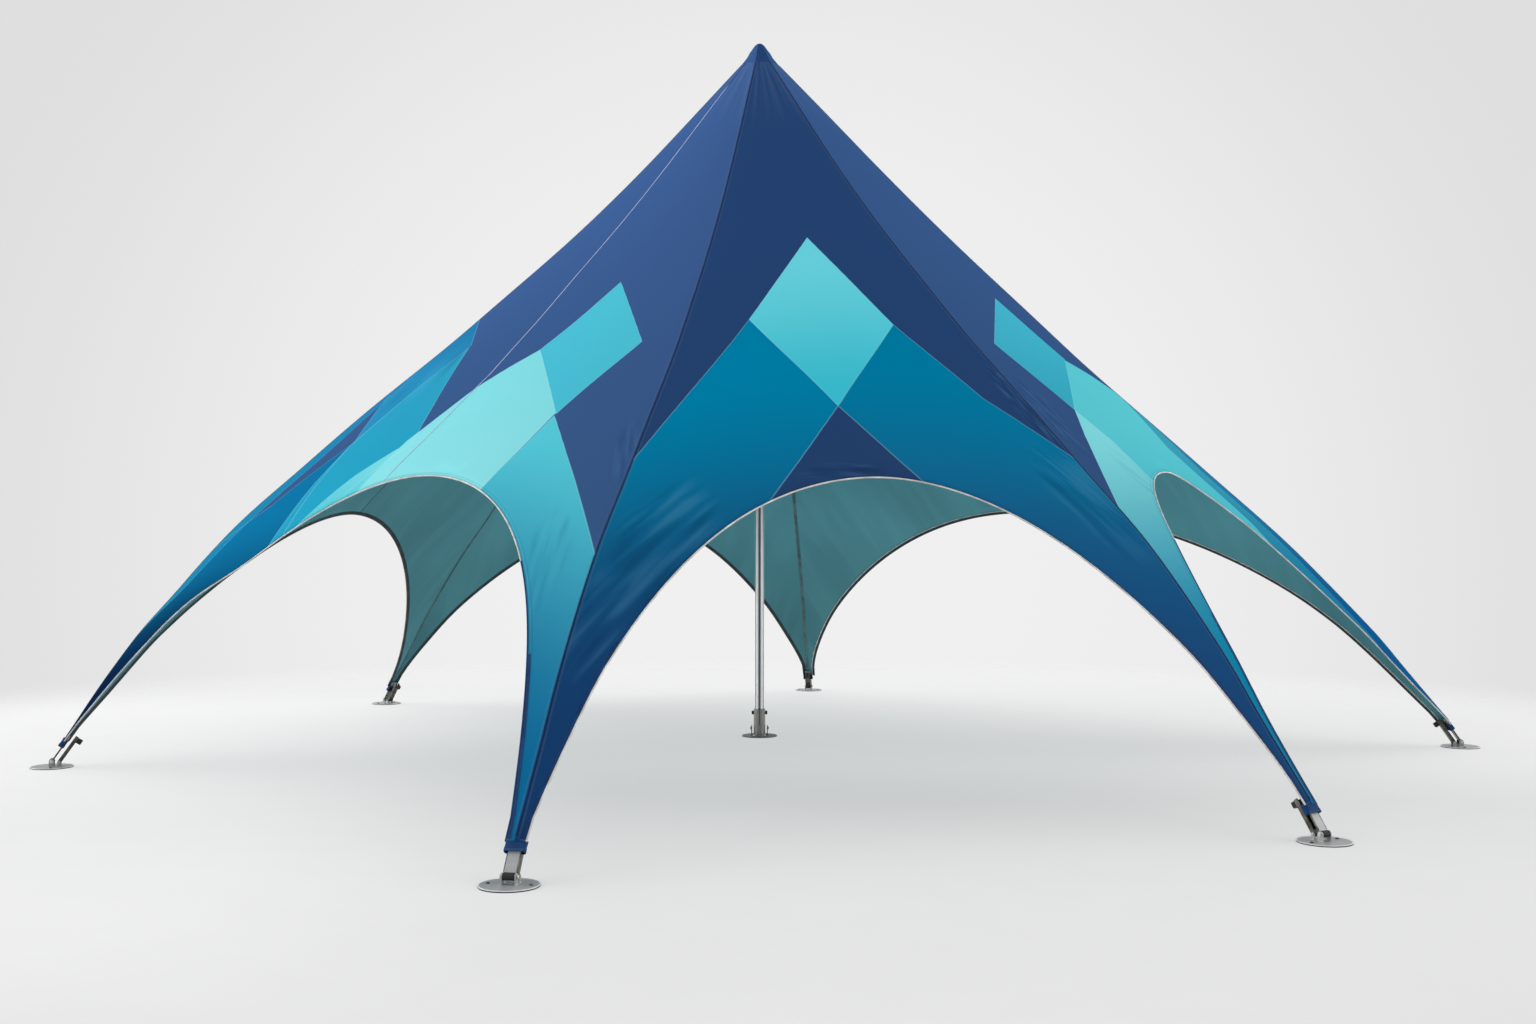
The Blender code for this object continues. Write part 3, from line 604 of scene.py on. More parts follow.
def meshOf(name, points, faces, material, sharp, place=None, uvs=None):
    mesh = bpy.data.meshes.new(name)
    mesh.from_pydata([tuple(p) for p in points], [], faces)
    if uvs:
        addUvs(mesh, "weave", uvs)
    mesh.materials.append(material)
    if place:
        mesh.transform(place)
    cleaned(mesh)
    mesh.shade_smooth()
    mesh.set_sharp_from_angle(angle=radians(sharp))
    return mesh


def addUvs(mesh, name, spots):
    layer = mesh.uv_layers.new(name=name)
    layer.data.foreach_set("uv", [value for loop in mesh.loops for value in spots[loop.vertex_index]])


def tubeFaces(rows, ring, start=0):  # the walls between rings of points
    corners = ((0, 0), (0, 1), (1, 1), (1, 0))
    return [tuple(start + (row + up) * ring + (k + on) % ring for up, on in corners)
            for row in range(rows) for k in range(ring)]


def closedFaces(rows, ring):  # the same with a lid at each end
    return tubeFaces(rows, ring) + [tuple(range(ring)), tuple(rows * ring + k for k in reversed(range(ring)))]


# Carries a closed outline, given as (side, up) offsets, along points with their own side and up
def sweepAlong(name, line, outline, material, sharp=40, place=None):
    points, uvs = [], []
    run, girth = 0.0, [0.0]
    for (a, b), (c, d) in zip(outline, outline[1:]):
        girth.append(girth[-1] + sqrt((c - a) ** 2 + (d - b) ** 2))
    path = line[0]
    for i, (spot, side, up) in enumerate(zip(*line)):
        run += (spot - path[i - 1]).length if i else 0.0
        points += [spot + side * x + up * y for x, y in outline]
        uvs += [(width, run) for width in girth]
    return meshOf(name, points, closedFaces(len(path) - 1, len(outline)), material, sharp, place, uvs)


def joined(name, meshes):  # several meshes as one, with their materials and UV maps
    bm = bmesh.new()
    materials = []
    for mesh in meshes:
        first = len(bm.faces)
        bm.from_mesh(mesh)
        bm.faces.ensure_lookup_table()
        materials += [material for material in mesh.materials if material not in materials]
        for face in bm.faces[first:]:
            face.material_index = materials.index(mesh.materials[face.material_index])
    result = bpy.data.meshes.new(name)
    bm.to_mesh(result)
    bm.free()
    for material in materials:
        result.materials.append(material)
    return result


def ringSpots(count, width, height):
    return [(width * cos(2 * pi * k / count), height * sin(2 * pi * k / count)) for k in range(count)]


def squaredRing(count, across, along):  # a circle drawn out into a rounded square, by two powers
    def drawn(value, power):
        return abs(value) ** power * (1 if value > 0 else -1)

    return [(drawn(x, across), drawn(y, along)) for x, y in ringSpots(count, 1.0, 1.0)]


# The canopy: one sheet over all six legs
def canopyRows(archTop):  # each row's station at the ridge and at the arch's rim
    top, above, below = topStation, cloth["rowsAbove"], cloth["rowsBelow"]
    rows = []
    for i in range(above):
        rows.append([top + (middle - top) * i / above for middle in (cloth["ridgeBreak"], archTop)])
    for i in range(below + 1):
        atRidge = cloth["ridgeBreak"] + (1 - cloth["ridgeBreak"]) * i / below
        rows.append([atRidge, 1 - (1 - archTop) * cos(pi / 2 * i / below)])
    return rows


patternTop = {"front": 0.740, "left": 0.7735, "right": 0.705}  # the arch top that each pattern was laid out for


def canopyMesh():
    points, faces, slots = [], [], []
    uvs = {"cut": [], "weave": [], "edge": []}
    columns = cloth["columns"]
    for panel, (archTop, _, pair) in panels.items():
        turned = panel.startswith("rear")  # the rear repeats the panel across from it, the other way round
        kind = panel.replace("rear", "front").split("_")[-1]
        patternArch = patternTop[kind]
        first, second = pair
        width = (legFoot(first) - legFoot(second)).length
        rows = canopyRows(archTop)
        for leg in pair:
            start = len(points)
            length = legs[leg][0] * cloth["lengthOverReach"]
            for row, (atRidge, atRim) in enumerate(rows):
                last = row == len(rows) - 1
                reach = edgeShare(panel, leg, atRim)
                for i in range(columns + 1):
                    across = i / columns
                    share = shareFrom(panel, leg, across * reach)
                    t = endStation(panel, leg, share) if last else atRidge + (atRim - atRidge) * across
                    points.append(panelPoint(panel, t, share))
                    station = t * patternArch / archTop
                    if t >= archTop:
                        station = 1 - (1 - t) * (1 - patternArch) / (1 - archTop)
                    uvs["cut"].append((1 - share if turned else share, 1 / station))
                    uvs["weave"].append(((share - 0.5) * width * t, t * length))
                    uvs["edge"].append((across * reach * legReach(panel, leg) * t, 0.0))
            for row in range(len(rows) - 1):
                for i in range(columns):
                    a = start + row * (columns + 1) + i
                    b = a + columns + 1
                    faces.append((a, a + 1, b + 1, b) if leg == second else (a, b, b + 1, a + 1))
                    slots.append(list(bands).index(kind))
    mesh = bpy.data.meshes.new("canopy_sheet")
    mesh.from_pydata([tuple(p) for p in points], [], faces)
    for name, spots in uvs.items():
        addUvs(mesh, name, spots)
    mesh.polygons.foreach_set("material_index", slots)
    cleaned(mesh, 0.00005)
    mesh.shade_smooth()
    mesh.set_sharp_from_angle(angle=radians(9))
    for material in [*outside.values(), *[inside] * 3, *[finishes["hem"]] * 3]:
        mesh.materials.append(material)
    return mesh


def addCanopy():
    obj = placed("canopy", canopyMesh())
    wall = obj.modifiers.new("wall", "SOLIDIFY")
    wall.thickness = cloth["thickness"]
    wall.offset = -1
    wall.use_even_offset = False
    wall.material_offset = len(outside)
    wall.material_offset_rim = 2 * len(outside)
    evaluated(obj)
    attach(obj, "tent")
    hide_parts(*[name for name in nodes if "_panel_gore_" in name])
    return obj


canopy = addCanopy()
print("canopy,", len(canopy.data.polygons), "faces")


# Lines on the cloth: points, sideways to the cloth, and up
def lineOf(path, ups):
    sides = []
    for i, up in enumerate(ups):
        ahead = path[min(i + 1, len(path) - 1)] - path[max(i - 1, 0)]
        sides.append(ahead.cross(up).normalized())
    return path, sides, ups


def panelLine(panel, spots):
    return lineOf([panelPoint(panel, *spot) for spot in spots], [panelNormal(panel, *spot) for spot in spots])


def rimLine(panel, steps=90):  # along an arch from leg to leg
    archTop, _, pair = panels[panel]
    spots = []
    for leg, order in zip(pair, (range(steps, -1, -1), range(1, steps + 1))):
        for i in order:
            t = 1 - (1 - archTop) * cos(pi / 2 * i / steps)
            share = shareFrom(panel, leg, edgeShare(panel, leg, t))
            spots.append((endStation(panel, leg, share) if i == steps else t, share))
    return panelLine(panel, spots)


def ridgeLine(leg, start, end, steps=90):
    panel = next(name for name, data in panels.items() if next(iter(data[2])) == leg)
    beside = next(name for name, data in panels.items() if name != panel and leg in data[2])
    stations = [start + (end - start) * i / steps for i in range(steps + 1)]
    ups = [(panelNormal(panel, t, 0.0) + panelNormal(beside, t, 1.0)).normalized() for t in stations]
    return lineOf([panelPoint(panel, t, 0.0) for t in stations], ups)


def seamLine(panel, steps=70):
    def share(t):
        straight, lean, until = trim["seamLean"].get(panel, (0.5, 0.0, 0.0))
        return straight - lean * max(0.0, until - t)

    start, end = trim["seamStart"], rimStation(panel, share(1.0)) - trim["seamShort"]
    stations = [start + (end - start) * i / steps for i in range(steps + 1)]
    return panelLine(panel, [(t, share(t)) for t in stations])


def partOf(line, first, last):
    return [row[first:last] for row in line]


def inwards(line):  # which of a rim's two sides its cloth lies on
    path, sides, _ = line
    middle = len(path) // 2
    return -1 if path[middle].dot(sides[middle]) > 0 else 1


trim = {
    "pipingRadius": 0.0046,
    "pipingDark": {"front_left": (0.74, 1.0), "front_right": (0.0, 0.24)},  # share of the arch's length
    "pipingShaded": ("rear", "rear_left"),
    "legHemPart": 0.15,
    "weltStations": (0.031, 1.004),
    "welt": [(-0.0045, -0.0012), (0.0045, -0.0012), (0.0045, 0.0004), (0.0018, 0.0016), (-0.0018, 0.0016),
             (-0.0045, 0.0004)],
    "webbingStations": (0.03, 0.995),
    "seamPanels": ("front_left", "rear_left"),
    "seamLean": {"front_left": (0.48, 0.35, 0.60)},  # share of the panel, and how it leans over near the mast
    "seamStart": 0.03,
    "seamShort": 0.004,
}
strips = {  # finish, width, thickness, gap over the cloth or under it, and distance from the rim
    "archHem": ("hem", 0.026, 0.0012, -0.0003, 0.004),
    "legHem": ("hemBlue", 0.017, 0.0012, 0.0002, 0.003),
    "outerSeam": ("seam", 0.008, 0.0008, 0.0003, 0.0),
    "innerSeam": ("hem", 0.008, 0.0008, -0.0003, 0.0),
    "webbing": ("webbing", 0.0135, 0.0016, -0.004, 0.0),
    "rearWebbing": ("webbing", 0.030, 0.0016, -0.004, 0.0),
}


def strip(name, line, kind, into=0):
    finish, width, thickness, gap, fromRim = strips[kind]
    low = gap if gap > 0 else gap - cloth["thickness"] - thickness
    middle = into * (width / 2 + fromRim)
    left, right, high = middle - width / 2, middle + width / 2, low + thickness
    outline = [(left, low), (right, low), (right, high), (left, high)]
    return keep(name, sweepAlong(name, line, outline, finishes[finish]))


def addTrim():
    pieces = []
    for panel, (_, _, pair) in panels.items():
        line = rimLine(panel)
        path, sides, ups = line
        core = [p - up * cloth["thickness"] / 2 for p, up in zip(path, ups)], sides, ups
        last = len(path) - 1
        start, end = (int(share * last) for share in trim["pipingDark"].get(panel, (0.0, 0.0)))
        plain = "pipingShade" if panel in trim["pipingShaded"] else "piping"
        meshes = []
        for a, b, finish in ((0, start, plain), (start, end, "pipingBlue"), (end, last, plain)):
            if b > a:
                outline = ringSpots(8, trim["pipingRadius"], trim["pipingRadius"])
                meshes.append(sweepAlong("piping", partOf(core, a, b + 1), outline, finishes[finish], 60))
        pieces.append(keep(f"{panel}_arch_piping", joined(f"{panel}_arch_piping", meshes)))
        into, count = inwards(line), int(len(path) * trim["legHemPart"])
        pieces.append(strip(f"{panel}_arch_hem", line, "archHem", into))
        for leg, ends in zip(pair, ((0, count), (len(path) - count, len(path)))):
            pieces.append(strip(f"{panel}_hem_at_{leg}_leg", partOf(line, *ends), "legHem", into))
    for panel in trim["seamPanels"]:
        for word in ("outer", "inner"):
            pieces.append(strip(f"{panel}_{word}_mid_seam", seamLine(panel), word + "Seam"))
    for leg in legs:
        name, line = f"{leg}_ridge_welt", ridgeLine(leg, *trim["weltStations"])
        pieces.append(keep(name, sweepAlong(name, line, trim["welt"], finishes["welt"])))
        kind = "rearWebbing" if leg == "rear" else "webbing"
        pieces.append(strip(f"{leg}_ridge_webbing", ridgeLine(leg, *trim["webbingStations"]), kind))
    return pieces


seams = addTrim()
print("trim,", len(seams), "pieces")


# Stitches and weld beads along lines, made by node trees
def beadTree(name, sizes, bead):  # sizes are the tree's named inputs, and bead makes what is set on each point
    tree = bpy.data.node_groups.new(name, "GeometryNodeTree")
    for way in ("INPUT", "OUTPUT"):
        tree.interface.new_socket(name="Geometry", in_out=way, socket_type="NodeSocketGeometry")
    for word in sizes:
        tree.interface.new_socket(name=word, in_out="INPUT", socket_type="NodeSocketFloat")
    tree.interface.new_socket(name="Material", in_out="INPUT", socket_type="NodeSocketMaterial")
    graph = Graph(tree)
    given = {wire.socket.name: wire for wire in graph.outputs(graph.node("NodeGroupInput"))}
    curve = graph.node("GeometryNodeMeshToCurve", None, [given["Geometry"]])
    spots = graph.node("GeometryNodeCurveToPoints", {"mode": "LENGTH"}, {"Curve": curve, "Length": given["Pitch"]})
    copies = graph.node("GeometryNodeInstanceOnPoints", None, {"Points": spots, **bead(graph, given, spots)})
    real = graph.node("GeometryNodeRealizeInstances", None, [copies])
    coloured = graph.node("GeometryNodeSetMaterial", None, {"Geometry": real, "Material": given["Material"]})
    graph.node("NodeGroupOutput", None, [coloured])
    return tree


def stitchBead(graph, given, spots):  # long, and turned along the line
    ball = graph.node("GeometryNodeMeshUVSphere", None, {"Segments": 4, "Rings": 3, "Radius": 1.0})
    size = graph.join(given["Thickness"], given["Thickness"], given["Length"] * 0.5)
    shaped = graph.node("GeometryNodeTransform", None, {"Geometry": ball, "Scale": size})
    return {"Instance": shaped, "Rotation": Wire(graph, spots.socket.node.outputs["Rotation"])}


def weldBead(graph, given, spots):  # round, and of uneven size
    values = {"Segments": 8, "Rings": 5, "Radius": given["Radius"]}
    vary = graph.node("FunctionNodeRandomValue", {"data_type": "FLOAT"}, {"Min": 0.85, "Max": 1.15, "Seed": 3}, 1)
    return {"Instance": graph.node("GeometryNodeMeshUVSphere", None, values), "Scale": vary}


def addBeads(name, tree, sizes, finish, lines, rings=()):
    points, edges = [], []
    for line in [*lines, *rings]:
        first = len(points)
        points += [tuple(p) for p in line]
        edges += [(first + i, first + i + 1) for i in range(len(line) - 1)]
        if line in rings:
            edges.append((len(points) - 1, first))
    mesh = bpy.data.meshes.new(name)
    mesh.from_pydata(points, edges, [])
    obj = placed(name, mesh)
    repeat = obj.modifiers.new("beads", "NODES")
    repeat.node_group = tree
    given = {**sizes, "Material": finishes[finish]}
    for item in tree.interface.items_tree:
        if item.name in given:
            repeat[item.identifier] = given[item.name]
    evaluated(obj)
    obj.data.shade_smooth()
    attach(obj, "tent")
    return obj


def shifted(line, side, up):
    return [p + s * side + u * up for p, s, u in zip(*line)]


stitch = {"Pitch": 0.009, "Length": 0.006, "Thickness": 0.0009}
stitchRows = {"arch": ((0.009, 0.026), 0.0004), "ridge": ((-0.011, 0.011), 0.0002)}  # how far aside and up
stitchTree = beadTree("stitches", stitch, stitchBead)


def addStitches():
    lines = {
        "arch": [rimLine(panel) for panel in panels],
        "ridge": [ridgeLine(leg, *trim["weltStations"]) for leg in legs],
    }
    pieces = []
    for where, (asides, up) in stitchRows.items():
        rows = []
        for line in lines[where]:
            into = inwards(line) if where == "arch" else 1
            rows += [shifted(line, into * aside, up) for aside in asides]
        half = len(rows) // 2
        for word, some in (("one", rows[:half]), ("two", rows[half:])):
            pieces.append(addBeads(f"{where}_stitches_{word}", stitchTree, stitch, "thread", some))
    return pieces


stitches = addStitches()
print("stitches,", sum(len(p.data.polygons) for p in stitches), "faces")


peak = {  # rings from the cloth up: station, height or else rise above the cloth, and how round
    "rings": [
        (0.0306, 0.0016, 0.0), (0.0276, 0.0030, 0.0), (0.0242, 0.0066, 0.1), (0.0205, 0.0122, 0.2),
        (0.0170, 5.4690, 0.3), (0.0136, 5.4930, 0.6), (0.0110, 5.5125, 0.85), (0.0086, 5.5290, 1.0),
        (0.0062, 5.5415, 1.0), (0.0038, 5.5495, 1.0), (0.0016, 5.5525, 1.0),
    ],
    "steps": 8,
    "circle": 4.9,
}


def addPeak():  # the rounded tip, drawn out of the canopy's own six-sided shape
    points = []
    for t, height, roundness in peak["rings"]:
        for panel in panels:
            for k in range(peak["steps"]):
                spot = panelPoint(panel, t, k / peak["steps"])
                bearing = atan2(spot.y, spot.x)
                reach = sqrt(spot.x ** 2 + spot.y ** 2) * (1 - roundness) + t * peak["circle"] * roundness
                z = height if height > 1 else spot.z + height
                points.append((reach * cos(bearing), reach * sin(bearing), z))
    rows, ring = len(peak["rings"]) - 1, len(panels) * peak["steps"]
    faces = tubeFaces(rows, ring) + [tuple(reversed(range(ring))), tuple(range(rows * ring, rows * ring + ring))]
    keep("rounded_peak", meshOf("rounded_peak", points, faces, finishes["cap"], 60), instead="peak_cap")


addPeak()
print("peak")


# Leg ends: everything here is drawn in the leg's own frame and then set in place
def legPlace(leg):
    distance, angle = legs[leg][:2]
    return Matrix.Translation(legDirection(leg) * distance) @ Matrix.Rotation(radians(angle), 4, "Z")


def atLeg(along, inward, aside):  # a point by its place up the fittings, in towards the mast, and to the side
    return pivot + leanUp * along + leanIn * inward + Vector((0, aside, 0))


cuff = {
    "start": 0.111,
    "end": 0.168,
    "halfWidth": 0.0485,
    "halfDepth": 0.0190,
    "wall": 0.0024,
    "inward": 0.001,
    "dish": 0.0022,  # how far its sides bend in at the upper end
    "girth": 0.29,
    "rows": 12,
    "ring": 40,
    "strapSide": -0.25,  # where the dark strap starts on the inner side, from 1 outside to -1 inside
    "stitchRows": (0.115, 0.120, 0.160, 0.164),
    "stitchHalf": 0.043,
    "stitchOut": 0.0012,
    "stitchBend": 0.10,
    "stitch": {"Pitch": 0.0065, "Length": 0.0045, "Thickness": 0.0008},
}


def cuffMesh(leg):
    ring, rows = cuff["ring"], cuff["rows"]
    outline = squaredRing(ring, 0.32, 0.36)
    points, uvs = [], []
    for wall in (0.0, cuff["wall"]):
        for row in range(rows + 1):
            u = row / rows
            along = cuff["start"] + (cuff["end"] - cuff["start"]) * u
            flare = 0.0008 * sin(u * pi * 3 + legs[leg][1]) + 0.001 * (1 - u) ** 3
            wide = cuff["halfWidth"] + flare - wall
            deep = cuff["halfDepth"] + flare * 0.6 - wall
            for k, (x, y) in enumerate(outline):
                inward = cuff["inward"] - y * deep + cuff["dish"] * x * x * u - cuffShift.get(leg, 0.0)
                points.append(atLeg(along, inward, x * wide))
                uvs.append((k / ring * cuff["girth"], along))
    inner = (rows + 1) * ring  # the inner wall's first point
    faces = tubeFaces(rows, ring) + tubeFaces(rows, ring, inner)
    for edge in (0, rows * ring):
        for k in range(ring):
            n = (k + 1) % ring
            faces.append((edge + k, edge + n, inner + edge + n, inner + edge + k))
    mesh = meshOf(f"{leg}_sewn_cuff", points, faces, finishes["cuff"], 50, legPlace(leg), uvs)
    mesh.materials.append(finishes["webbingDark"])
    for number in range(rows * ring):
        if sin(2 * pi * (number % ring + 0.5) / ring) < cuff["strapSide"]:
            mesh.polygons[number].material_index = 1
    return mesh


def cuffStitches(leg):
    lines = []
    for along in cuff["stitchRows"]:
        for face in (-1, 1):
            line = []
            for part in (i / 6 - 1 for i in range(13)):
                deep = face * (cuff["halfDepth"] + cuff["stitchOut"]) * (1 - cuff["stitchBend"] * part ** 4)
                inward = deep + cuff["inward"] - cuffShift.get(leg, 0.0)
                line.append(legPlace(leg) @ atLeg(along, inward, part * cuff["stitchHalf"]))
            lines.append(line)
    return lines


def turnedMesh(name, outline, steps, finish, place, axis="Z", hollow=False):  # a turned solid, or a ring
    points = [Vector((x, y, height)) for radius, height in outline for x, y in ringSpots(steps, radius, radius)]
    rows = len(outline) - 1
    faces = closedFaces(rows, steps)
    if hollow:
        last = rows * steps
        faces = tubeFaces(rows, steps) + [(last + k, last + (k + 1) % steps, (k + 1) % steps, k) for k in range(steps)]
    if axis == "Y":
        place = place @ Matrix.Rotation(-pi / 2, 4, "X")
    return meshOf(name, points, faces, finishes[finish], 35, place)


fittings = {  # turned outlines as (radius, height), and where they sit
    "washer": [(0.0062, 0.0), (0.0125, 0.0), (0.0125, 0.0016), (0.0062, 0.0016)],
    "head": [(0.0005, 0.0016), (0.0095, 0.0016), (0.010, 0.0026), (0.010, 0.0066), (0.0088, 0.0076), (0.0005, 0.0076)],
    "clip": [(0.0052, 0.0), (0.0072, 0.0002), (0.0075, 0.0012), (0.0070, 0.0022), (0.0052, 0.0024)],
    "bush": [(0.0062, 0.0), (0.0168, 0.0), (0.0175, 0.0008), (0.0175, 0.0542), (0.0168, 0.055), (0.0062, 0.055)],
    "rim": [(0.1290, 0.0079), (0.1312, 0.0091), (0.1342, 0.0092), (0.1358, 0.0080), (0.1358, 0.0052),
            (0.1290, 0.0050)],
    "edging": [(0.1290, 0.0002), (0.1354, 0.0002), (0.1362, 0.0012), (0.1362, 0.0038), (0.1350, 0.0046),
               (0.1290, 0.0046)],
    "anchor": [(0.0062, 0.0010), (0.0062, 0.0082), (0.0095, 0.0084), (0.0095, 0.0112), (0.0070, 0.0138),
               (0.0020, 0.0146)],
    "boltOut": 0.0353,
    "clipOut": 0.0328,
    "bushStart": -0.0275,
    "anchorOut": 0.100,
    "plateSteps": 96,
}


def onBothEnds(leg, pin, out, profiles):  # turned shapes, mirrored on the two ends of a pin
    meshes = []
    for side in (-1, 1):
        place = legPlace(leg) @ Matrix.Translation(pin + Vector((0, side * out, 0)))
        if side < 0:
            place = place @ Matrix.Scale(-1, 4, (0, 1, 0))
        meshes += [turnedMesh(word, fittings[word], steps, "bolt", place, "Y") for word, steps in profiles]
    return meshes


rail = {"aside": 0.0309, "halfWidth": 0.0024, "halfHeight": 0.0052, "start": 0.021, "end": 0.109}


def railMeshes(leg):  # folded edges along the tongue, between its pivot and the cuff
    outline = ringSpots(12, rail["halfWidth"], rail["halfHeight"])
    steps = [rail["start"] + (rail["end"] - rail["start"]) * k / 8 for k in range(9)]
    meshes = []
    for side in (-1, 1):
        path = [atLeg(along, 0.0, side * rail["aside"]) for along in steps]
        line = path, [Vector((0, 1, 0))] * len(path), [leanIn] * len(path)
        meshes.append(sweepAlong("rail", line, outline, finishes["lever"], place=legPlace(leg)))
    return meshes


grip = {
    "along": 0.178,
    "inward": 0.012,
    "start": 0.0030,
    "length": 0.030,
    "half": 0.0158,
    "moreAlong": 0.0012,
    "moreAside": 0.0002,
    "taperFrom": 0.9,
    "taper": 0.025,
    "ribs": 9,
    "ribHeight": 0.0006,
    "steps": 24,
    "rows": 18,
}


def gripMesh(leg):  # ribbed rubber sleeve over the lever's end block
    steps, rows = grip["steps"], grip["rows"]
    outline = squaredRing(steps, 0.4, 0.4)
    at = leverPivot + leanUp * grip["along"] + leanIn * grip["inward"]
    points = []
    for row in range(rows + 1):
        u = row / rows
        rib = grip["ribHeight"] * (int(u * grip["ribs"]) % 2)
        half = grip["half"] + rib - grip["taper"] * max(0.0, u - grip["taperFrom"])
        for x, y in outline:
            across = leanUp * x * (half + grip["moreAlong"]) + Vector((0, y * (half + grip["moreAside"]), 0))
            points.append(at + leanIn * (grip["start"] + grip["length"] * u) + across)
    return meshOf(f"{leg}_lever_grip", points, closedFaces(rows, steps), finishes["rubber"], 40, legPlace(leg))


weld = {"Pitch": 0.0026, "Radius": 0.0022}
weldLines = {  # beads on the plates: each line's middle and half length, in the leg's frame
    "cheek": (pivot.x, 0.0355, 0.015),
    "lug": (leverPivot.x, 0.033, 0.010),
    "height": 0.0082,
    "socketRadius": 0.0585,
}


def addWelds():  # where the cheeks and lugs meet each ground plate, and round the mast's socket
    lines, height = [], weldLines["height"]
    for leg in legs:
        for side in (-1, 1):
            for middle, aside, half in (weldLines["cheek"], weldLines["lug"]):
                ends = (middle - half, middle + half)
                lines.append([legPlace(leg) @ Vector((x, side * aside, height)) for x in ends])
    radius = weldLines["socketRadius"]
    ring = [Vector((x, y, height)) for x, y in ringSpots(40, radius, radius)]
    addBeads("weld_beads", beadTree("weld_beads", weld, weldBead), weld, "bolt", lines, [ring])


def addLegEnds():
    lines = []
    for leg in legs:
        place, steps = legPlace(leg), fittings["plateSteps"]
        bushPlace = place @ Matrix.Translation(pivot + Vector((0, fittings["bushStart"], 0)))
        anchors = []
        for side in (-1, 1):
            at = place @ Matrix.Translation((0, side * fittings["anchorOut"], 0))
            anchors.append(turnedMesh("anchor", fittings["anchor"], 20, "lever", at))
        groups = {
            "pivot_bolts": onBothEnds(leg, pivot, fittings["boltOut"], (("washer", 24), ("head", 6))),
            "pivot_bush": [turnedMesh("bush", fittings["bush"], 28, "rubber", bushPlace, "Y")],
            "plate_rim": [turnedMesh("rim", fittings["rim"], steps, "rim", place, hollow=True)],
            "plate_edging": [turnedMesh("edging", fittings["edging"], steps, "rubber", place, hollow=True)],
            "anchor_heads": anchors,
            "tongue_rails": railMeshes(leg),
            "lever_pin_clips": onBothEnds(leg, leverPivot, fittings["clipOut"], (("clip", 20),)),
        }
        keep(f"{leg}_sewn_cuff", cuffMesh(leg), instead=f"{leg}_cuff")
        for word, meshes in groups.items():
            keep(f"{leg}_{word}", joined(f"{leg}_{word}", meshes))
        keep(f"{leg}_lever_grip", gripMesh(leg), f"{leg}_lever")
        lines += cuffStitches(leg)
    addBeads("cuff_stitches", stitchTree, cuff["stitch"], "threadPale", lines)
    addWelds()


addLegEnds()
print("leg ends")

studio = {
    "wallBehind": 0.87,
    "wallAround": 0.74,
    "wallFadeStart": 0.86,
    "frontDim": 0.62,
    "frontReach": (-0.85, -0.05),
    "leftGlow": 3.2,
    "rightGlow": 2.4,
    "sideStart": 0.48,
    "sideFull": 0.92,
    "floorInner": 6.4,
    "floorOuter": 9.6,
    "floorPaint": 0.29,
    "floorGlow": 0.49,
    "shadeUnderArch": ((-2.8, -0.6), (-3.4, -1.4), 0.16),  # where the floor's glow is lowered as painted shadow, in x and y, and by how much
    "lightBesideTent": ((-3.6, -1.4), (1.5, 4.5), 0.14),  # and where it is raised as painted light
    "lampHeight": 11,
    "lampSize": 9,
    "lampPower": 120.0,
    "camera": (0.0675, -11.97, 1.445),
    "tilt": 1.61,
    "lens": 35.156,
}


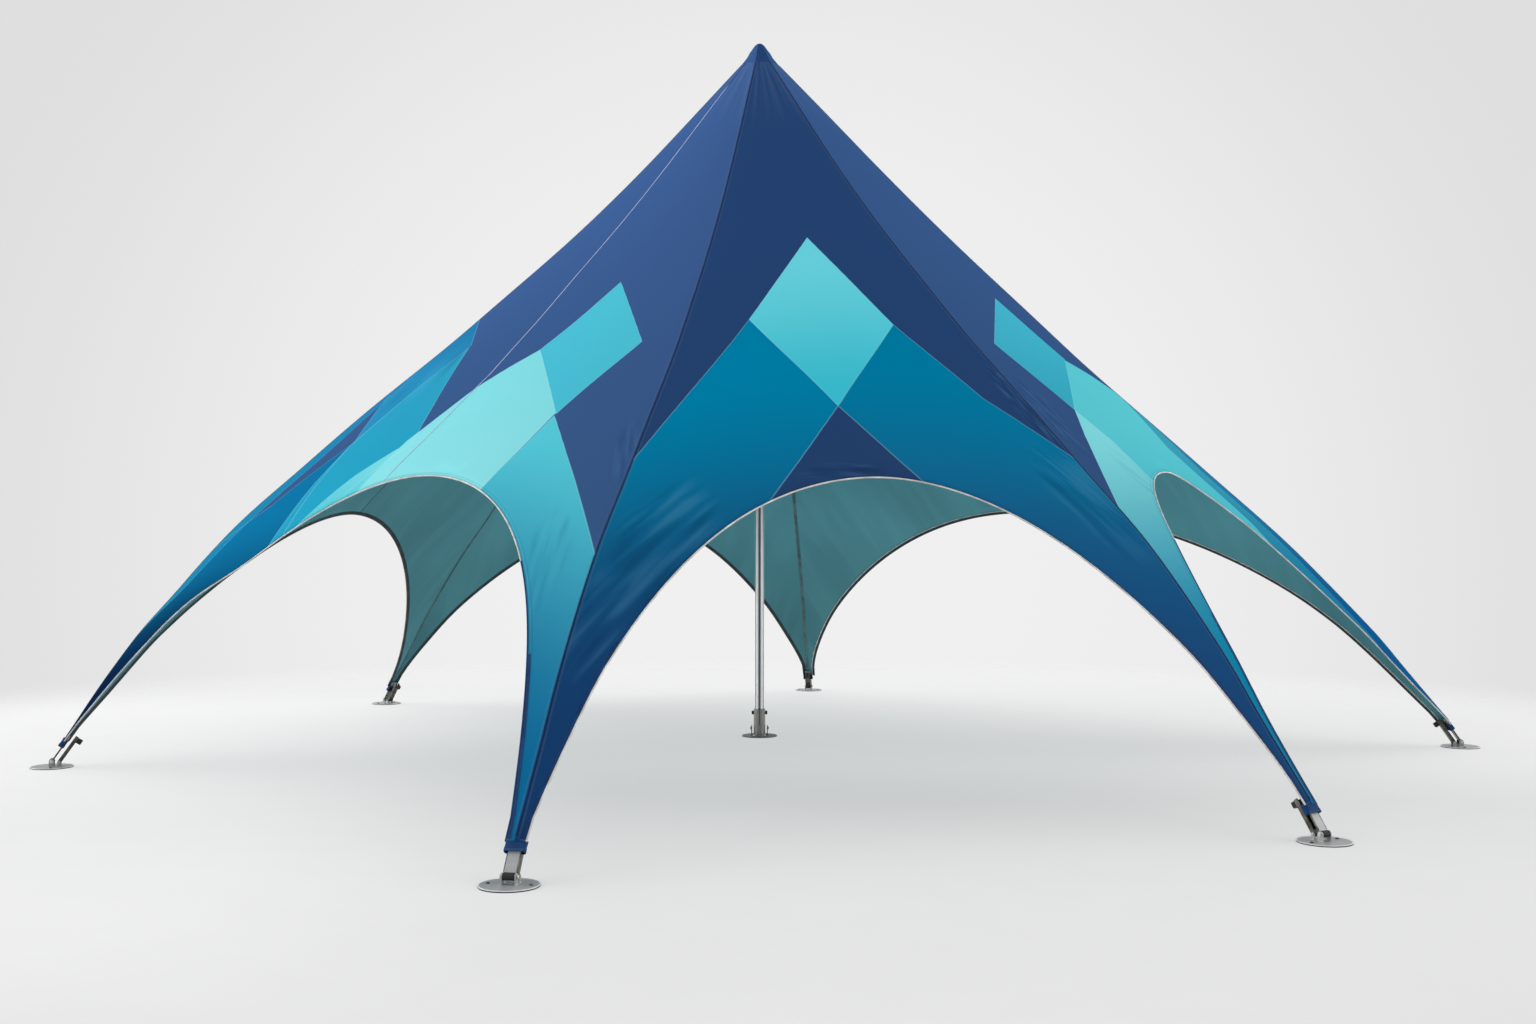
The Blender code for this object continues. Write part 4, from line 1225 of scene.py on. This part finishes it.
def addFloor():
    mesh = bpy.data.meshes.new("studio_floor")
    bm = bmesh.new()
    bmesh.ops.create_circle(bm, cap_ends=True, segments=96, radius=studio["floorOuter"])
    bm.to_mesh(mesh)
    bm.free()
    shade = Shade("floor_paint")
    spot = shade.place()
    x, y, _ = shade.split(spot)
    low, high = studio["floorPaint"] - 0.01, studio["floorPaint"] + 0.01
    paint = shade.mix(shade.noise(spot, 3.0, 2.0), (low, low, low), (high, high, high))
    (acrossUnder, alongUnder, dim), (acrossBeside, alongBeside, lift) = studio["shadeUnderArch"], studio["lightBesideTent"]
    # painted shadow under the front arch and painted light beside the tent, in the floor's glow
    under = x.ease(*acrossUnder) * (1.0 - y.ease(*alongUnder))
    beside = (1.0 - x.ease(*acrossBeside)) * (1.0 - y.size().ease(*alongBeside))
    glow = 1.0 - under * dim + beside * lift
    reach = shade.node("ShaderNodeVectorMath", {"operation": "LENGTH"}, [spot], 1)
    more = {
        "Emission Color": shade.join(glow, glow, glow),
        "Emission Strength": studio["floorGlow"],
        "Alpha": 1.0 - reach.ease(studio["floorInner"], studio["floorOuter"] - 0.05),
    }
    mesh.materials.append(shade.finish(paint, 0.9, specular=0.1, **more))
    placed("studio_floor", mesh)


def addWorld():  # pale walls all round; the light on the tent is stronger from both sides, weaker from the front
    world = bpy.data.worlds.new("studio")
    bpy.context.scene.world = world
    world.use_nodes = True
    world.node_tree.nodes.clear()
    graph = Graph(world.node_tree)
    x, y, _ = graph.split(graph.node("ShaderNodeTexCoord"))
    wall = y.ease(studio["wallFadeStart"], 1.0, studio["wallAround"], studio["wallBehind"])
    front = y.ease(*studio["frontReach"], studio["frontDim"], 1.0)
    right = x.ease(studio["sideStart"], studio["sideFull"], 0.0, studio["rightGlow"])
    left = x.ease(-studio["sideFull"], -studio["sideStart"], studio["leftGlow"], 0.0)
    lit, seen = (graph.node("ShaderNodeBackground", None, {"Color": (1, 1, 1, 1), "Strength": strength})
                 for strength in (wall * front + (left + right), wall))
    isSeen = graph.node("ShaderNodeLightPath")
    either = graph.node("ShaderNodeMixShader", None, [isSeen, lit, seen])
    graph.node("ShaderNodeOutputWorld", None, [either])


def addLight():
    light = bpy.data.lights.new("overhead_softbox", "AREA")
    light.energy = studio["lampPower"]
    light.size = studio["lampSize"]
    placed("overhead_softbox", light).location = (0, 0, studio["lampHeight"])


def addCamera():
    data = bpy.data.cameras.new("camera")
    data.lens = studio["lens"]
    data.sensor_width = 36
    camera = placed("camera", data)
    camera.location = studio["camera"]
    camera.rotation_euler = (radians(90 + studio["tilt"]), 0, 0)
    bpy.context.scene.camera = camera


addFloor()
addWorld()
addLight()
addCamera()
bpy.context.scene.view_settings.view_transform = "Standard"
print("studio")
